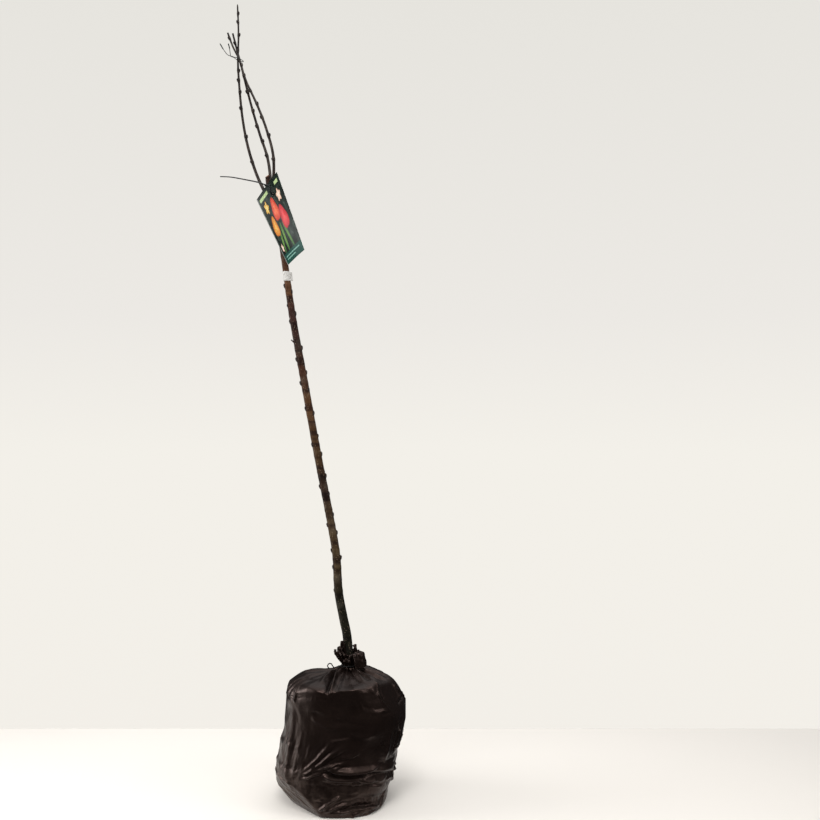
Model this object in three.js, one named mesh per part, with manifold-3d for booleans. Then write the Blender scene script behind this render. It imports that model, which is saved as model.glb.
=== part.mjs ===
// Bare young tree standing on its film-wrapped root ball. Millimetres, +Z up, origin at the middle
// of the flat underside. The tree leans towards -X and -Y is the side it is looked at from.
import * as THREE from 'three';
import Module from 'manifold-3d';

const wasm = await Module();
wasm.setup();

// ---- driving sizes ----
const GAP = 0.35;                 // clear space kept between pieces that touch in life

// Root ball: height, then left, right, front and back reach of the film at that height
const BALL_LEVELS = [
  [0, -98, 98, -113, 104],
  [5, -112, 106, -119, 111],
  [16, -125, 110, -122, 116],
  [43, -145, 113, -125, 123],
  [65, -155, 125, -126, 127],
  [80, -156, 127, -126, 128],
  [100, -154, 130, -128, 128],
  [125, -148, 134, -128, 128],
  [160, -142, 144, -128, 128],
  [183, -137, 150, -128, 128],
  [216, -134, 157, -127, 127],
  [243, -132, 155, -127, 122],
  [266, -131, 143, -126, 113],
  [282, -122, 130, -119, 99],
  [294, -112, 114, -103, 87],
  [303, -90, 92, -76, 70],
  [309, -54, 64, -44, 48],
];
const BALL_SIDES = 50;
const BALL_SQUARENESS = 2.25;     // 2 is an ellipse in plan, more is squarer
const SEAT_Z = 312;               // flat on top where the stem starts
const SEAT_R = 17;
const FOLD_DEPTH = 5;             // the long fold across the lower front

// Stem: height, sideways reach, depth, thickness
const STEM = [
  [SEAT_Z + GAP, 20, 0, 23],
  [391, 14.4, 0, 21.5],
  [440, 4.2, 2, 21],
  [498, -6.3, 4, 20.8],
  [585, -11.9, 6, 19.2],
  [672, -26.4, 7, 18.6],
  [817, -54.7, 6, 18.3],
  [991, -86.2, 4, 17.6],
  [1165, -117.4, 2, 16.6],
  [1281, -133.8, 0, 15.5],
  [1327, -140.5, 0, 15.2],
  [1400, -155, 0, 14.8],
  [1452, -168.5, 0, 16],
  [1474, -173, 0, 15],
  [1486, -176, 0, 10.6],
  [1504, -178, 0, 10],
];
const STEM_SIDES = 12;
const STEM_RINGS = 36;
const STUB_SLOPE = 0.5;           // slant of the pruning cut on the stem's own tip
const BUDS_LEFT = [500, 556, 597, 659, 752, 853, 940, 1003, 1059, 1151, 1190, 1236, 1420];
const BUDS_RIGHT = [528, 577, 638, 682, 732, 776, 829, 873, 928, 986, 1027, 1085, 1168, 1221, 1310, 1385];
const SNAG = { z: 1104, length: 11, thickness: 3.4 };

// Boughs: height, reach, depth; thickness goes evenly from the base to the tip
const BOUGHS = {
  bough_left: {
    base: 8.4,
    tip: 3.6,
    path: [
      [1442, -168, 2], [1457, -179.5, 6], [1504, -203, 9], [1572, -225, 9], [1639, -238, 7],
      [1722, -246, 4], [1780, -248.7, 1], [1843, -247, 0], [1916, -249, -2],
    ],
    buds: [1539, 1600, 1668, 1707, 1735, 1758, 1806, 1842, 1873, 1893],
  },
  bough_middle: {
    base: 7.8,
    tip: 4.4,
    path: [
      [1466, -172, 2], [1499, -172, 10], [1552, -180, 17], [1610, -199, 17], [1668, -216, 13],
      [1731, -232, 8.5], [1782, -244.5, 7], [1809, -252, 7.5], [1850, -262.5, 9],
    ],
    buds: [1556, 1591, 1628, 1664, 1708, 1747, 1826],
  },
  bough_right: {
    base: 7.8,
    tip: 4.2,
    path: [
      [1460, -168, -1], [1504, -161.5, -7], [1552, -162, -14], [1610, -177, -16], [1668, -199, -13],
      [1731, -228, -8], [1782, -244.5, -5.6], [1814, -260, -6.5], [1845, -271.5, -8],
    ],
    buds: [1540, 1596, 1640, 1673, 1706, 1768, 1832],
  },
};
const BOUGH_SIDES = 8;
const BOUGH_RINGS = 20;

// Gathered film above the tie: lobes as [compass angle, spread, reach, top height, share of the
// height at which the full reach is met]
const NECK_BOTTOM = SEAT_Z + GAP;
const NECK_WAIST = 321;
const NECK_WAIST_R = 16;
const NECK_FILM = 2.2;
const NECK_RIM = 340;
const NECK_LOBES = [
  [187, 42, 37, 354, 0.75],
  [232, 34, 21, 381, 0.8],
  [285, 30, 22, 344, 0.7],
  [343, 42, 40, 354, 0.28],
  [28, 32, 21, 366, 0.8],
  [82, 40, 31, 356, 0.7],
  [136, 36, 28, 348, 0.6],
];
const NECK_SIDES = 48;

const STRING_R = 1.35;            // cord round the neck of the bag
const CURL_R = 5;

// Hanging card: corners top left, top right, bottom right, bottom left
const CARD = [[-205.7, 16, 1449.1], [-147.4, -48, 1501.4], [-74.3, -120, 1305.9], [-121.9, -42, 1282]];
const CARD_THICK = 0.8;
const CARD_BULGE = 3.5;
const CARD_HOLE = { across: 0.625, down: 0.166, radius: 4.2 };
const STRAP = { width: 3.4, thick: 1.3 };
const STRAP_HEAD = [6.4, 5, 4.2];
const STRAP_AT = [-169, -38, 1472];

const TAPE = { low: 1249, high: 1273, thick: 1.5, flag: 6 };
const WIRE_R = 0.7;
const WIRE_LOOP = { z: 1784, x: -246, y: 0.7, across: 10.2, deep: 9.9 };

// ---- helpers ----
const V = (x, y, z) => new THREE.Vector3(x, y, z);
const rad = THREE.MathUtils.degToRad;
const clamp01 = (t) => Math.min(1, Math.max(0, t));
const smooth = (t) => clamp01(t) * clamp01(t) * (3 - 2 * clamp01(t));

// Value of a table's column at a height, eased between rows
function atHeight(rows, column, z) {
  let i = 0;
  while (i < rows.length - 2 && z > rows[i + 1][0]) {
    i += 1;
  }
  const t = clamp01((z - rows[i][0]) / (rows[i + 1][0] - rows[i][0]));
  return rows[i][column] + (rows[i + 1][column] - rows[i][column]) * t;
}

// Closed solid from positions and triangles, turned so that its faces look out
function closed(points, triangles) {
  let volume = 0;
  for (const [a, b, c] of triangles) {
    volume += points[a].dot(points[b].clone().cross(points[c])) / 6;
  }
  const faces = volume < 0 ? triangles.map(([a, b, c]) => [a, c, b]) : triangles;
  const geometry = new THREE.BufferGeometry();
  geometry.setAttribute('position', new THREE.Float32BufferAttribute(points.flatMap((p) => [p.x, p.y, p.z]), 3));
  geometry.setIndex(faces.flat());
  return geometry;
}

function bridge(triangles, first, second, count) {
  for (let i = 0; i < count; i += 1) {
    const j = (i + 1) % count;
    triangles.push([first + i, first + j, second + j]);
    triangles.push([first + i, second + j, second + i]);
  }
}

// Rings of points joined into a skin with a fan at each end
function skin(rings) {
  const count = rings[0].length;
  const points = rings.flat();
  const triangles = [];
  for (let r = 0; r < rings.length - 1; r += 1) {
    bridge(triangles, r * count, (r + 1) * count, count);
  }
  const centre = (ring) => ring.reduce((sum, p) => sum.add(p), V(0, 0, 0)).divideScalar(count);
  const start = points.length;
  points.push(centre(rings[0]));
  points.push(centre(rings[rings.length - 1]));
  const last = (rings.length - 1) * count;
  for (let i = 0; i < count; i += 1) {
    const j = (i + 1) % count;
    triangles.push([start, j, i]);
    triangles.push([start + 1, last + i, last + j]);
  }
  return closed(points, triangles);
}

// Rings that close on themselves: a sleeve, a loop
function hoop(rings) {
  const count = rings[0].length;
  const triangles = [];
  for (let r = 0; r < rings.length; r += 1) {
    bridge(triangles, r * count, ((r + 1) % rings.length) * count, count);
  }
  return closed(rings.flat(), triangles);
}

function toSolid(geometry) {
  const vertProperties = new Float32Array(geometry.getAttribute('position').array);
  const triVerts = new Uint32Array(geometry.getIndex().array);
  return new wasm.Manifold(new wasm.Mesh({ numProp: 3, vertProperties, triVerts }));
}

function toGeometry(solid) {
  const mesh = solid.getMesh();
  const geometry = new THREE.BufferGeometry();
  geometry.setAttribute('position', new THREE.BufferAttribute(new Float32Array(mesh.vertProperties), 3));
  geometry.setIndex(Array.from(mesh.triVerts));
  return geometry;
}

const union = (geometries) => geometries.map(toSolid).reduce((all, one) => all.add(one));

// Limb along a curve; thickness(u, point) gives the radius
function limb(curve, sides, rings, thickness, endCut = 0) {
  const frames = curve.computeFrenetFrames(rings, false);
  const out = [];
  for (let r = 0; r <= rings; r += 1) {
    const u = r / rings;
    const centre = curve.getPointAt(u);
    const radius = thickness(u, centre);
    const ring = [];
    for (let s = 0; s < sides; s += 1) {
      const a = (s / sides) * Math.PI * 2;
      const p = centre.clone();
      p.addScaledVector(frames.normals[r], Math.cos(a) * radius);
      p.addScaledVector(frames.binormals[r], Math.sin(a) * radius);
      if (r === rings && endCut !== 0) {
        p.z += (p.x - centre.x) * endCut;
      }
      ring.push(p);
    }
    out.push(ring);
  }
  return skin(out);
}

const smoothPath = (points) => new THREE.CatmullRomCurve3(points, false, 'centripetal');

// Small pointed bud lying up against a limb
function bud(base, outward, along, length, width) {
  const axis = along.clone().addScaledVector(outward, 0.45).normalize();
  const side = axis.clone().cross(outward).normalize();
  const front = side.clone().cross(axis).normalize();
  const rings = [[-0.35, 0.5], [0.05, 1], [0.5, 0.8], [0.95, 0.28]].map(([step, swell]) => {
    const ring = [];
    for (let i = 0; i < 6; i += 1) {
      const a = (i / 6) * Math.PI * 2;
      const p = base.clone().addScaledVector(axis, step * length);
      p.addScaledVector(side, Math.cos(a) * width * swell);
      p.addScaledVector(front, Math.sin(a) * width * 0.8 * swell);
      ring.push(p);
    }
    return ring;
  });
  return skin(rings);
}

// Point and direction of a path where it passes a height
function whereAt(curve, z) {
  let low = 0;
  let high = 1;
  for (let i = 0; i < 30; i += 1) {
    const mid = (low + high) / 2;
    if (curve.getPointAt(mid).z < z) {
      low = mid;
    } else {
      high = mid;
    }
  }
  return { point: curve.getPointAt(low), along: curve.getTangentAt(low), u: low };
}

// ---- root ball ----
// How far the film is pushed out or drawn in by the long fold across the lower front
function foldPush(angle, z) {
  const turn = angle + 95;                       // degrees right of the fold's left end
  const crease = 104 - 0.4 * clamp01(turn / 95) * 95;
  const reach = smooth((turn + 35) / 40) * smooth((120 - turn) / 25);
  const below = Math.exp(-(((z - crease) / 9) ** 2));
  const above = Math.exp(-(((z - crease - 17) / 10) ** 2));
  return reach * FOLD_DEPTH * (0.8 * above - below);
}

function ballRing([z, left, right, front, back]) {
  const ring = [];
  for (let i = 0; i < BALL_SIDES; i += 1) {
    const angle = -180 + (i / BALL_SIDES) * 360;
    const c = Math.cos(rad(angle));
    const s = Math.sin(rad(angle));
    const rx = (right - left) / 2;
    const ry = (back - front) / 2;
    const n = BALL_SQUARENESS;
    const r = 1 / ((Math.abs(c) / rx) ** n + (Math.abs(s) / ry) ** n) ** (1 / n);
    const flat = smooth(z / 30);
    const lump = (Math.sin(rad(angle * 3 + z * 0.9 + 40)) + Math.sin(rad(angle * 5 - z * 1.3))) * 1.3 * flat;
    const shoulder = smooth((z - 240) / 40) * 2.2 * Math.sin(rad(angle * 9 + 30));
    const toe = 8 * Math.exp(-(((angle + 47) / 15) ** 2)) * smooth((34 - z) / 30);
    const heel = 7 * Math.exp(-(((angle + 140) / 24) ** 2)) * smooth((70 - z) / 50);
    const reach = r + lump + shoulder + toe - heel + foldPush(angle, z);
    ring.push(V((left + right) / 2 + c * reach, (front + back) / 2 + s * reach, z));
  }
  return ring;
}

function rootBall() {
  const rings = BALL_LEVELS.map(ballRing);
  const seat = [];
  for (let i = 0; i < BALL_SIDES; i += 1) {
    const a = rad(-180 + (i / BALL_SIDES) * 360);
    seat.push(V(STEM[0][1] + Math.cos(a) * SEAT_R, Math.sin(a) * SEAT_R, SEAT_Z));
  }
  rings.push(seat);
  return skin(rings);
}

// ---- stem ----
const stemCurve = smoothPath(STEM.map(([z, x, y]) => V(x, y, z)));
const stemRadius = (z) => atHeight(STEM, 3, z) / 2;

function stem() {
  const core = limb(stemCurve, STEM_SIDES, STEM_RINGS, (u, p) => stemRadius(p.z), STUB_SLOPE);
  // The foot is a flat level cut
  const position = core.getAttribute('position');
  for (let i = 0; i < STEM_SIDES; i += 1) {
    position.setZ(i, NECK_BOTTOM);
  }
  position.setZ(position.count - 2, NECK_BOTTOM);
  const pieces = [core];
  const addBuds = (heights, turn) => heights.forEach((z, k) => {
    const { point, along } = whereAt(stemCurve, z);
    const a = rad(turn + ((k * 47) % 60) - 30);
    const outward = V(Math.cos(a), Math.sin(a), 0);
    outward.addScaledVector(along, -outward.dot(along)).normalize();
    const base = point.clone().addScaledVector(outward, stemRadius(z) - 0.6);
    pieces.push(bud(base, outward, along, 6.5 + (k % 3), 3.1 + (k % 2) * 0.5));
  });
  addBuds(BUDS_LEFT, 190);
  addBuds(BUDS_RIGHT, -10);
  const { point, along } = whereAt(stemCurve, SNAG.z);
  const outward = V(-1, -0.25, 0).normalize();
  const tip = point.clone().addScaledVector(outward, stemRadius(SNAG.z) + SNAG.length * 0.7);
  tip.addScaledVector(along, SNAG.length);
  pieces.push(limb(new THREE.LineCurve3(point, tip), 6, 2, (u) => SNAG.thickness * (0.62 - 0.14 * u)));
  return union(pieces);
}

// ---- boughs ----
function bough({ base, tip, path, buds }, index, keepOut) {
  const curve = smoothPath(path.map(([z, x, y]) => V(x, y, z)));
  const radius = (u) => (base + (tip - base) * u ** 0.85) / 2;
  const pieces = [limb(curve, BOUGH_SIDES, BOUGH_RINGS, radius)];
  buds.forEach((z, k) => {
    const { point, along, u } = whereAt(curve, z);
    const a = rad((k % 2 === 0 ? 180 : 0) + ((k * 67 + index * 31) % 50) - 25);
    const outward = V(Math.cos(a), Math.sin(a), 0);
    outward.addScaledVector(along, -outward.dot(along)).normalize();
    const start = point.clone().addScaledVector(outward, radius(u) - 0.4);
    pieces.push(bud(start, outward, along, 5.2, 1.9));
  });
  return union(pieces).subtract(keepOut);
}

// ---- gathered neck of the film ----
function neckReach(angle) {
  let reach = NECK_WAIST_R + 3;
  let top = NECK_RIM;
  let low = 0.7;
  for (const [at, spread, far, high, share] of NECK_LOBES) {
    const off = Math.abs(((angle - at + 540) % 360) - 180);
    const pull = smooth(1.15 - off / spread);
    if (pull > 0) {
      reach = Math.max(reach, NECK_WAIST_R + 3 + (far - NECK_WAIST_R - 3) * pull);
      top = Math.max(top, NECK_RIM + (high - NECK_RIM) * pull);
      low += (share - low) * pull;
    }
  }
  return { reach, top, low };
}

function neck() {
  const rings = [];
  for (let i = 0; i < NECK_SIDES; i += 1) {
    const angle = (i / NECK_SIDES) * 360;
    const { reach, top, low } = neckReach(angle);
    const pleat = 0.8 * Math.sin(rad(angle * 12));
    const a = rad(angle);
    const at = (z, r) => {
      const c = whereAt(stemCurve, z).point;
      return V(c.x + Math.cos(a) * r, c.y + Math.sin(a) * r, z);
    };
    const wall = (z, r) => Math.max(stemRadius(z) + GAP + 0.25, r);
    const rise = top - NECK_WAIST - 3;
    const outer = [
      [NECK_BOTTOM, NECK_WAIST_R + 5 + pleat],
      [NECK_WAIST - 3, NECK_WAIST_R + 1 + pleat],
      [NECK_WAIST, NECK_WAIST_R],
      [NECK_WAIST + 3, NECK_WAIST_R + 1 + pleat],
      [NECK_WAIST + 3 + rise * low * 0.5, NECK_WAIST_R + (reach - NECK_WAIST_R) * 0.65],
      [NECK_WAIST + 3 + rise * low, reach],
      [top, reach - 1.2],
    ];
    const inner = outer.slice(3).reverse().map(([z, r]) => [z === top ? top - 0.6 : z, wall(z, r - NECK_FILM)]);
    inner.push([NECK_WAIST, wall(NECK_WAIST, 0)]);
    inner.push([NECK_BOTTOM, wall(NECK_BOTTOM, 0)]);
    rings.push([...outer, ...inner].map(([z, r]) => at(z, r)));
  }
  return hoop(rings);
}

// ---- cord round the neck ----
function cord() {
  const centre = whereAt(stemCurve, NECK_WAIST).point;
  const around = NECK_WAIST_R + STRING_R + 0.75;
  const rings = [];
  for (let i = 0; i < 30; i += 1) {
    const a = (i / 30) * Math.PI * 2;
    const out = V(Math.cos(a), Math.sin(a), 0);
    const middle = centre.clone().addScaledVector(out, around);
    const ring = [];
    for (let s = 0; s < 6; s += 1) {
      const b = (s / 6) * Math.PI * 2;
      const p = middle.clone().addScaledVector(out, Math.cos(b) * STRING_R);
      p.z += Math.sin(b) * STRING_R;
      ring.push(p);
    }
    rings.push(ring);
  }
  const left = centre.x - around;
  const y = -6;
  const tail = smoothPath([
    V(left + 1.3, y, NECK_WAIST + 0.2), V(left - 6, y - 2, NECK_WAIST - 0.8), V(left - 13, y - 3, NECK_WAIST - 3.4),
    V(left - 18, y - 3.5, NECK_WAIST - 4.2), V(left - 22, y - 4, NECK_WAIST - 0.5), V(left - 25.5, y - 4.5, NECK_WAIST + 4.2),
    V(left - 30, y - 5, NECK_WAIST + 3.2), V(left - 31.5, y - 5.5, NECK_WAIST - 1.2), V(left - 28, y - 6, NECK_WAIST - 4.8),
  ]);
  const end = smoothPath([
    V(left + 5, y - 6, NECK_WAIST), V(left - 2.5, y - 10, NECK_WAIST - 0.8), V(left - 10, y - 14, NECK_WAIST - 3),
  ]);
  const thin = () => STRING_R * 0.9;
  return union([hoop(rings), limb(tail, 6, 26, thin), limb(end, 6, 6, thin)]);
}

// ---- hanging card ----
const corners = CARD.map(([x, y, z]) => V(x, y, z));

function onCard(across, down) {
  const top = corners[0].clone().lerp(corners[1], across);
  const bottom = corners[3].clone().lerp(corners[2], across);
  return top.lerp(bottom, down);
}

// Unit vector square to the card, on the side away from the stem
function cardFront(across, down) {
  const right = onCard(Math.min(1, across + 0.02), down).sub(onCard(Math.max(0, across - 0.02), down));
  const fall = onCard(across, Math.min(1, down + 0.02)).sub(onCard(across, Math.max(0, down - 0.02)));
  return fall.cross(right).normalize();
}

function cardPoint(across, down, lift) {
  const bow = CARD_BULGE * Math.sin(across * Math.PI) * (0.4 + 0.6 * Math.sin(down * Math.PI));
  return onCard(across, down).addScaledVector(cardFront(across, down), bow + lift);
}

function card() {
  const nx = 8;
  const nz = 10;
  const points = [];
  const triangles = [];
  const id = (layer, i, j) => layer * (nx + 1) * (nz + 1) + j * (nx + 1) + i;
  for (const lift of [0, CARD_THICK]) {
    for (let j = 0; j <= nz; j += 1) {
      for (let i = 0; i <= nx; i += 1) {
        points.push(cardPoint(i / nx, j / nz, lift));
      }
    }
  }
  const quad = (a, b, c, d) => triangles.push([a, b, c], [a, c, d]);
  for (let j = 0; j < nz; j += 1) {
    for (let i = 0; i < nx; i += 1) {
      quad(id(0, i, j), id(0, i + 1, j), id(0, i + 1, j + 1), id(0, i, j + 1));
      quad(id(1, i, j), id(1, i, j + 1), id(1, i + 1, j + 1), id(1, i + 1, j));
    }
  }
  for (let i = 0; i < nx; i += 1) {
    quad(id(0, i, 0), id(1, i, 0), id(1, i + 1, 0), id(0, i + 1, 0));
    quad(id(0, i, nz), id(0, i + 1, nz), id(1, i + 1, nz), id(1, i, nz));
  }
  for (let j = 0; j < nz; j += 1) {
    quad(id(0, 0, j), id(0, 0, j + 1), id(1, 0, j + 1), id(1, 0, j));
    quad(id(0, nx, j), id(1, nx, j), id(1, nx, j + 1), id(0, nx, j + 1));
  }
  const { across, down, radius } = CARD_HOLE;
  const from = cardPoint(across, down, -8);
  const to = cardPoint(across, down, 8);
  const drill = limb(new THREE.LineCurve3(from, to), 14, 1, () => radius);
  return toSolid(closed(points, triangles)).subtract(toSolid(drill));
}

// ---- strap that hangs the card ----
// Flat band along a path; wide says which way its width lies
function band(curve, rings, width, thick, wide, loop) {
  const out = [];
  const steps = loop ? rings : rings + 1;
  for (let r = 0; r < steps; r += 1) {
    const u = r / rings;
    const centre = curve.getPointAt(u);
    const along = curve.getTangentAt(u);
    const across = wide(u).clone();
    across.addScaledVector(along, -across.dot(along)).normalize();
    const up = along.clone().cross(across).normalize();
    const w = typeof width === 'function' ? width(u) : width;
    out.push([[-1, -1], [1, -1], [1, 1], [-1, 1]].map(([i, j]) => centre.clone()
      .addScaledVector(across, i * w / 2).addScaledVector(up, j * thick / 2)));
  }
  return loop ? hoop(out) : skin(out);
}

function strap() {
  const hole = cardPoint(CARD_HOLE.across, CARD_HOLE.down, CARD_THICK / 2);
  const front = cardFront(CARD_HOLE.across, CARD_HOLE.down);
  const inFront = hole.clone().addScaledVector(front, 5);
  const behind = hole.clone().addScaledVector(front, -6);
  const head = V(...STRAP_AT);
  const loop = new THREE.CatmullRomCurve3([
    head.clone(), V(-165, -44, 1465), inFront, hole, behind,
    V(-150, -18, 1458), V(-152, -2, 1467), V(-158, 7.5, 1475), V(-171, 11, 1480), V(-181.5, 11, 1481.5),
    V(-184.2, 6, 1481), V(-183, -6, 1480), V(-178, -22, 1476),
  ], true, 'centripetal');
  const ring = band(loop, 54, STRAP.width, STRAP.thick, (u) => {
    const nearHole = Math.exp(-(((u - 0.2) / 0.1) ** 2));
    return V(0.6 * nearHole, -0.6 * nearHole, 1);
  }, true);
  const tailPath = smoothPath([
    head.clone(), V(-180, -36, 1474.5), V(-189, -37, 1478), V(-226, -39, 1485.5), V(-259, -40, 1491), V(-284, -39, 1492.5),
  ]);
  const tail = band(tailPath, 16, (u) => STRAP.width * (1 - 0.5 * u), STRAP.thick, () => V(0, 0.25, 1), false);
  const block = new THREE.BoxGeometry(...STRAP_HEAD).toNonIndexed();
  block.rotateY(rad(-20));
  block.translate(head.x, head.y, head.z);
  return union([ring, tail, weld(block)]);
}

// Shared corners for a shape made as loose faces
function weld(geometry) {
  const position = geometry.getAttribute('position');
  const points = [];
  const seen = new Map();
  const ids = [];
  for (let i = 0; i < position.count; i += 1) {
    const p = V(position.getX(i), position.getY(i), position.getZ(i));
    const key = [p.x, p.y, p.z].map((n) => n.toFixed(4)).join();
    if (!seen.has(key)) {
      seen.set(key, points.length);
      points.push(p);
    }
    ids.push(seen.get(key));
  }
  const triangles = [];
  for (let i = 0; i < ids.length; i += 3) {
    triangles.push([ids[i], ids[i + 1], ids[i + 2]]);
  }
  return closed(points, triangles);
}

// ---- tape round the stem ----
function tape() {
  const rings = [];
  const sides = 20;
  for (let i = 0; i < sides; i += 1) {
    const a = (i / sides) * Math.PI * 2;
    const flag = TAPE.flag * Math.max(0, 1 - Math.abs(i - 19) / 1.5);
    const at = (z, r) => {
      const c = whereAt(stemCurve, z).point;
      return V(c.x + Math.cos(a) * r, c.y + Math.sin(a) * r, z);
    };
    const inner = stemRadius(TAPE.low) + GAP + 0.25;
    const outer = inner + TAPE.thick + flag;
    rings.push([at(TAPE.low, outer), at(TAPE.high, outer), at(TAPE.high, inner), at(TAPE.low, inner)]);
  }
  return hoop(rings);
}

// ---- wire tie round the three boughs ----
function wireTie() {
  const { z, x, y, across, deep } = WIRE_LOOP;
  const rings = [];
  for (let i = 0; i < 32; i += 1) {
    const a = (i / 32) * Math.PI * 2;
    const middle = V(x + Math.cos(a) * across, y + Math.sin(a) * deep, z - Math.cos(a) * 4);
    const out = V(Math.cos(a), Math.sin(a), 0);
    const ring = [];
    for (let s = 0; s < 6; s += 1) {
      const b = (s / 6) * Math.PI * 2;
      const p = middle.clone().addScaledVector(out, Math.cos(b) * WIRE_R);
      p.z += Math.sin(b) * WIRE_R;
      ring.push(p);
    }
    rings.push(ring);
  }
  const knot = V(x - across + 0.6, y - 1, z + 4);
  const twistEnd = V(-266, -4, 1791);
  const twist = limb(new THREE.LineCurve3(knot, twistEnd), 8, 6, () => WIRE_R * 1.8);
  const endOne = smoothPath([V(-265.5, -4, 1791), V(-272, -6, 1793), V(-281, -8, 1804), V(-290, -9, 1819)]);
  const endTwo = smoothPath([V(-265.5, -4, 1791), V(-265.5, -12, 1799), V(-266, -17, 1807), V(-268, -20, 1815)]);
  const swell = (u) => WIRE_R * (u > 0.62 ? 1.7 : 1);
  return union([hoop(rings), twist, limb(endOne, 6, 10, swell), limb(endTwo, 6, 10, swell)]);
}

// ---- build ----
const group = new THREE.Group();
group.name = 'sapling_with_root_ball';

function place(name, geometry, color, roughness, metalness = 0) {
  const material = new THREE.MeshStandardMaterial({ color, roughness, metalness });
  const mesh = new THREE.Mesh(geometry, material);
  mesh.name = name;
  group.add(mesh);
}

const fatStem = toSolid(limb(stemCurve, STEM_SIDES, STEM_RINGS, (u, p) => stemRadius(p.z) + GAP + 0.15, STUB_SLOPE));

place('root_ball', rootBall(), '#3b302d', 0.38);
place('bag_neck', neck(), '#40332f', 0.4);
place('neck_cord', toGeometry(cord()), '#1f1b19', 0.6);
place('trunk', toGeometry(stem()), '#4b4030', 0.8);
Object.entries(BOUGHS).forEach(([name, sizes], index) => {
  place(name, toGeometry(bough(sizes, index, fatStem)), '#412f2b', 0.7);
});
place('trunk_tape', tape(), '#e9e9e5', 0.5);
place('label_card', toGeometry(card()), '#39634a', 0.3);
place('label_strap', toGeometry(strap()), '#16191a', 0.45);
place('crown_tie', toGeometry(wireTie()), '#2b3431', 0.45);

export default group;
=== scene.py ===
import math
import random

import bmesh
import bpy
import numpy as np
from mathutils import Matrix, Vector, noise


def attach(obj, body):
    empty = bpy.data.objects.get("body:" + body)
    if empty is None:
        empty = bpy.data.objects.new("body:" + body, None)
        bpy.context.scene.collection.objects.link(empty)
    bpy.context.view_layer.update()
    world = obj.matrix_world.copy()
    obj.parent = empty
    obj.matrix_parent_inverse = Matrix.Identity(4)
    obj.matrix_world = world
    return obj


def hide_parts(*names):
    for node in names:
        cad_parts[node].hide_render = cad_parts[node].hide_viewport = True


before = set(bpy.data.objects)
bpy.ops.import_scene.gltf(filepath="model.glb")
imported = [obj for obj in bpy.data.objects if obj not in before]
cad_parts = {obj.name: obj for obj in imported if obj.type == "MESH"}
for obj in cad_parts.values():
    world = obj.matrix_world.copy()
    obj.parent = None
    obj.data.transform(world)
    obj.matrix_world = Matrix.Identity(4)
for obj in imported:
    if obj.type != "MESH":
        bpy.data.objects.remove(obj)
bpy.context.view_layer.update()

mm = 0.001


# small helpers

def linear(hexText):  # sRGB hex to linear
    parts = [int(hexText[i:i + 2], 16) / 255 for i in (1, 3, 5)]
    return tuple(c / 12.92 if c <= 0.04045 else ((c + 0.055) / 1.055) ** 2.4 for c in parts) + (1.0,)


def linkTo(node, links):  # a link comes from a socket, or from a node's first output
    for key, source in links.items():
        start = source.outputs[0] if isinstance(source, bpy.types.Node) else source
        node.id_data.links.new(start, node.inputs[key])


def addNode(tree, kind, settings=None, links=None):
    # a short kind is a shader node's; a setting is the node's own, an input's value or a ramp's stops
    node = tree.nodes.new(kind if kind.startswith(("Geometry", "Node")) else "ShaderNode" + kind)
    for key, value in (settings or {}).items():
        if key == "stops":
            elements = node.color_ramp.elements
            while len(elements) < len(value):
                elements.new(0.5)
            for element, (at, tone) in zip(elements, value):
                element.position = at
                element.color = linear(tone) if isinstance(tone, str) else (tone, tone, tone, 1)
        elif isinstance(key, str) and hasattr(node, key) and key not in node.inputs:
            setattr(node, key, value)
        else:
            node.inputs[key].default_value = value
    linkTo(node, links or {})
    return node


def newMaterial(name, settings):
    material = bpy.data.materials.new(name)
    material.use_nodes = True
    tree = material.node_tree
    shader = tree.nodes["Principled BSDF"]
    for key, value in settings.items():
        shader.inputs[key].default_value = value
    return material, tree, shader


def placed(name, data):  # a new object in the scene
    thing = bpy.data.objects.new(name, data)
    bpy.context.scene.collection.objects.link(thing)
    return thing


def meshPiece(name, points, faces, materials=(), smooth=True):
    mesh = bpy.data.meshes.new(name)
    mesh.from_pydata([tuple(p) for p in points], [], faces)
    for material in materials:
        mesh.materials.append(material)
    if faces:
        mesh.polygons.foreach_set("use_smooth", [smooth] * len(mesh.polygons))
    mesh.validate()
    mesh.update()
    return placed(name, mesh)


def markedPoints(name, points, turns, grows):  # points that carry a turn and a size for what stands on them
    places = meshPiece(name, points, [])
    for key, values in (("turn", turns), ("grow", grows)):
        places.data.attributes.new(key, "FLOAT_VECTOR", "POINT").data.foreach_set("vector", values)
    return places


def finished(piece, node):  # rides on the body in place of its plain solid
    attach(piece, "root")
    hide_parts(node)
    return piece


def addWall(piece, name, thickness, offset):  # thickness in mm
    wall = piece.modifiers.new(name, "SOLIDIFY")
    wall.thickness = thickness * mm
    wall.offset = offset
    return wall


def turnsOf(count):  # evenly spaced angles round a circle
    return [i / count * math.tau for i in range(count)]


def inMetres(places):
    return [tuple(v * mm for v in place) for place in places]


def gridFaces(rows, columns, wrap=True):
    faces = []
    for r in range(rows - 1):
        for c in range(columns if wrap else columns - 1):
            d = (c + 1) % columns
            faces.append((r * columns + c, r * columns + d, (r + 1) * columns + d, (r + 1) * columns + c))
    return faces


def tubeFaces(rows, columns, closed=False):  # the wall, then its two caps, or the joint where it meets itself
    last = (rows - 1) * columns
    if closed:
        ends = [(last + k, last + (k + 1) % columns, (k + 1) % columns, k) for k in range(columns)]
    else:
        ends = [tuple(range(columns - 1, -1, -1)), tuple(range(last, last + columns))]
    return gridFaces(rows, columns) + ends


def gather(parts):
    verts, faces = [], []
    for partVerts, partFaces in parts:
        start = len(verts)
        verts += partVerts
        faces += [tuple(i + start for i in f) for f in partFaces]
    return verts, faces


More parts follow.
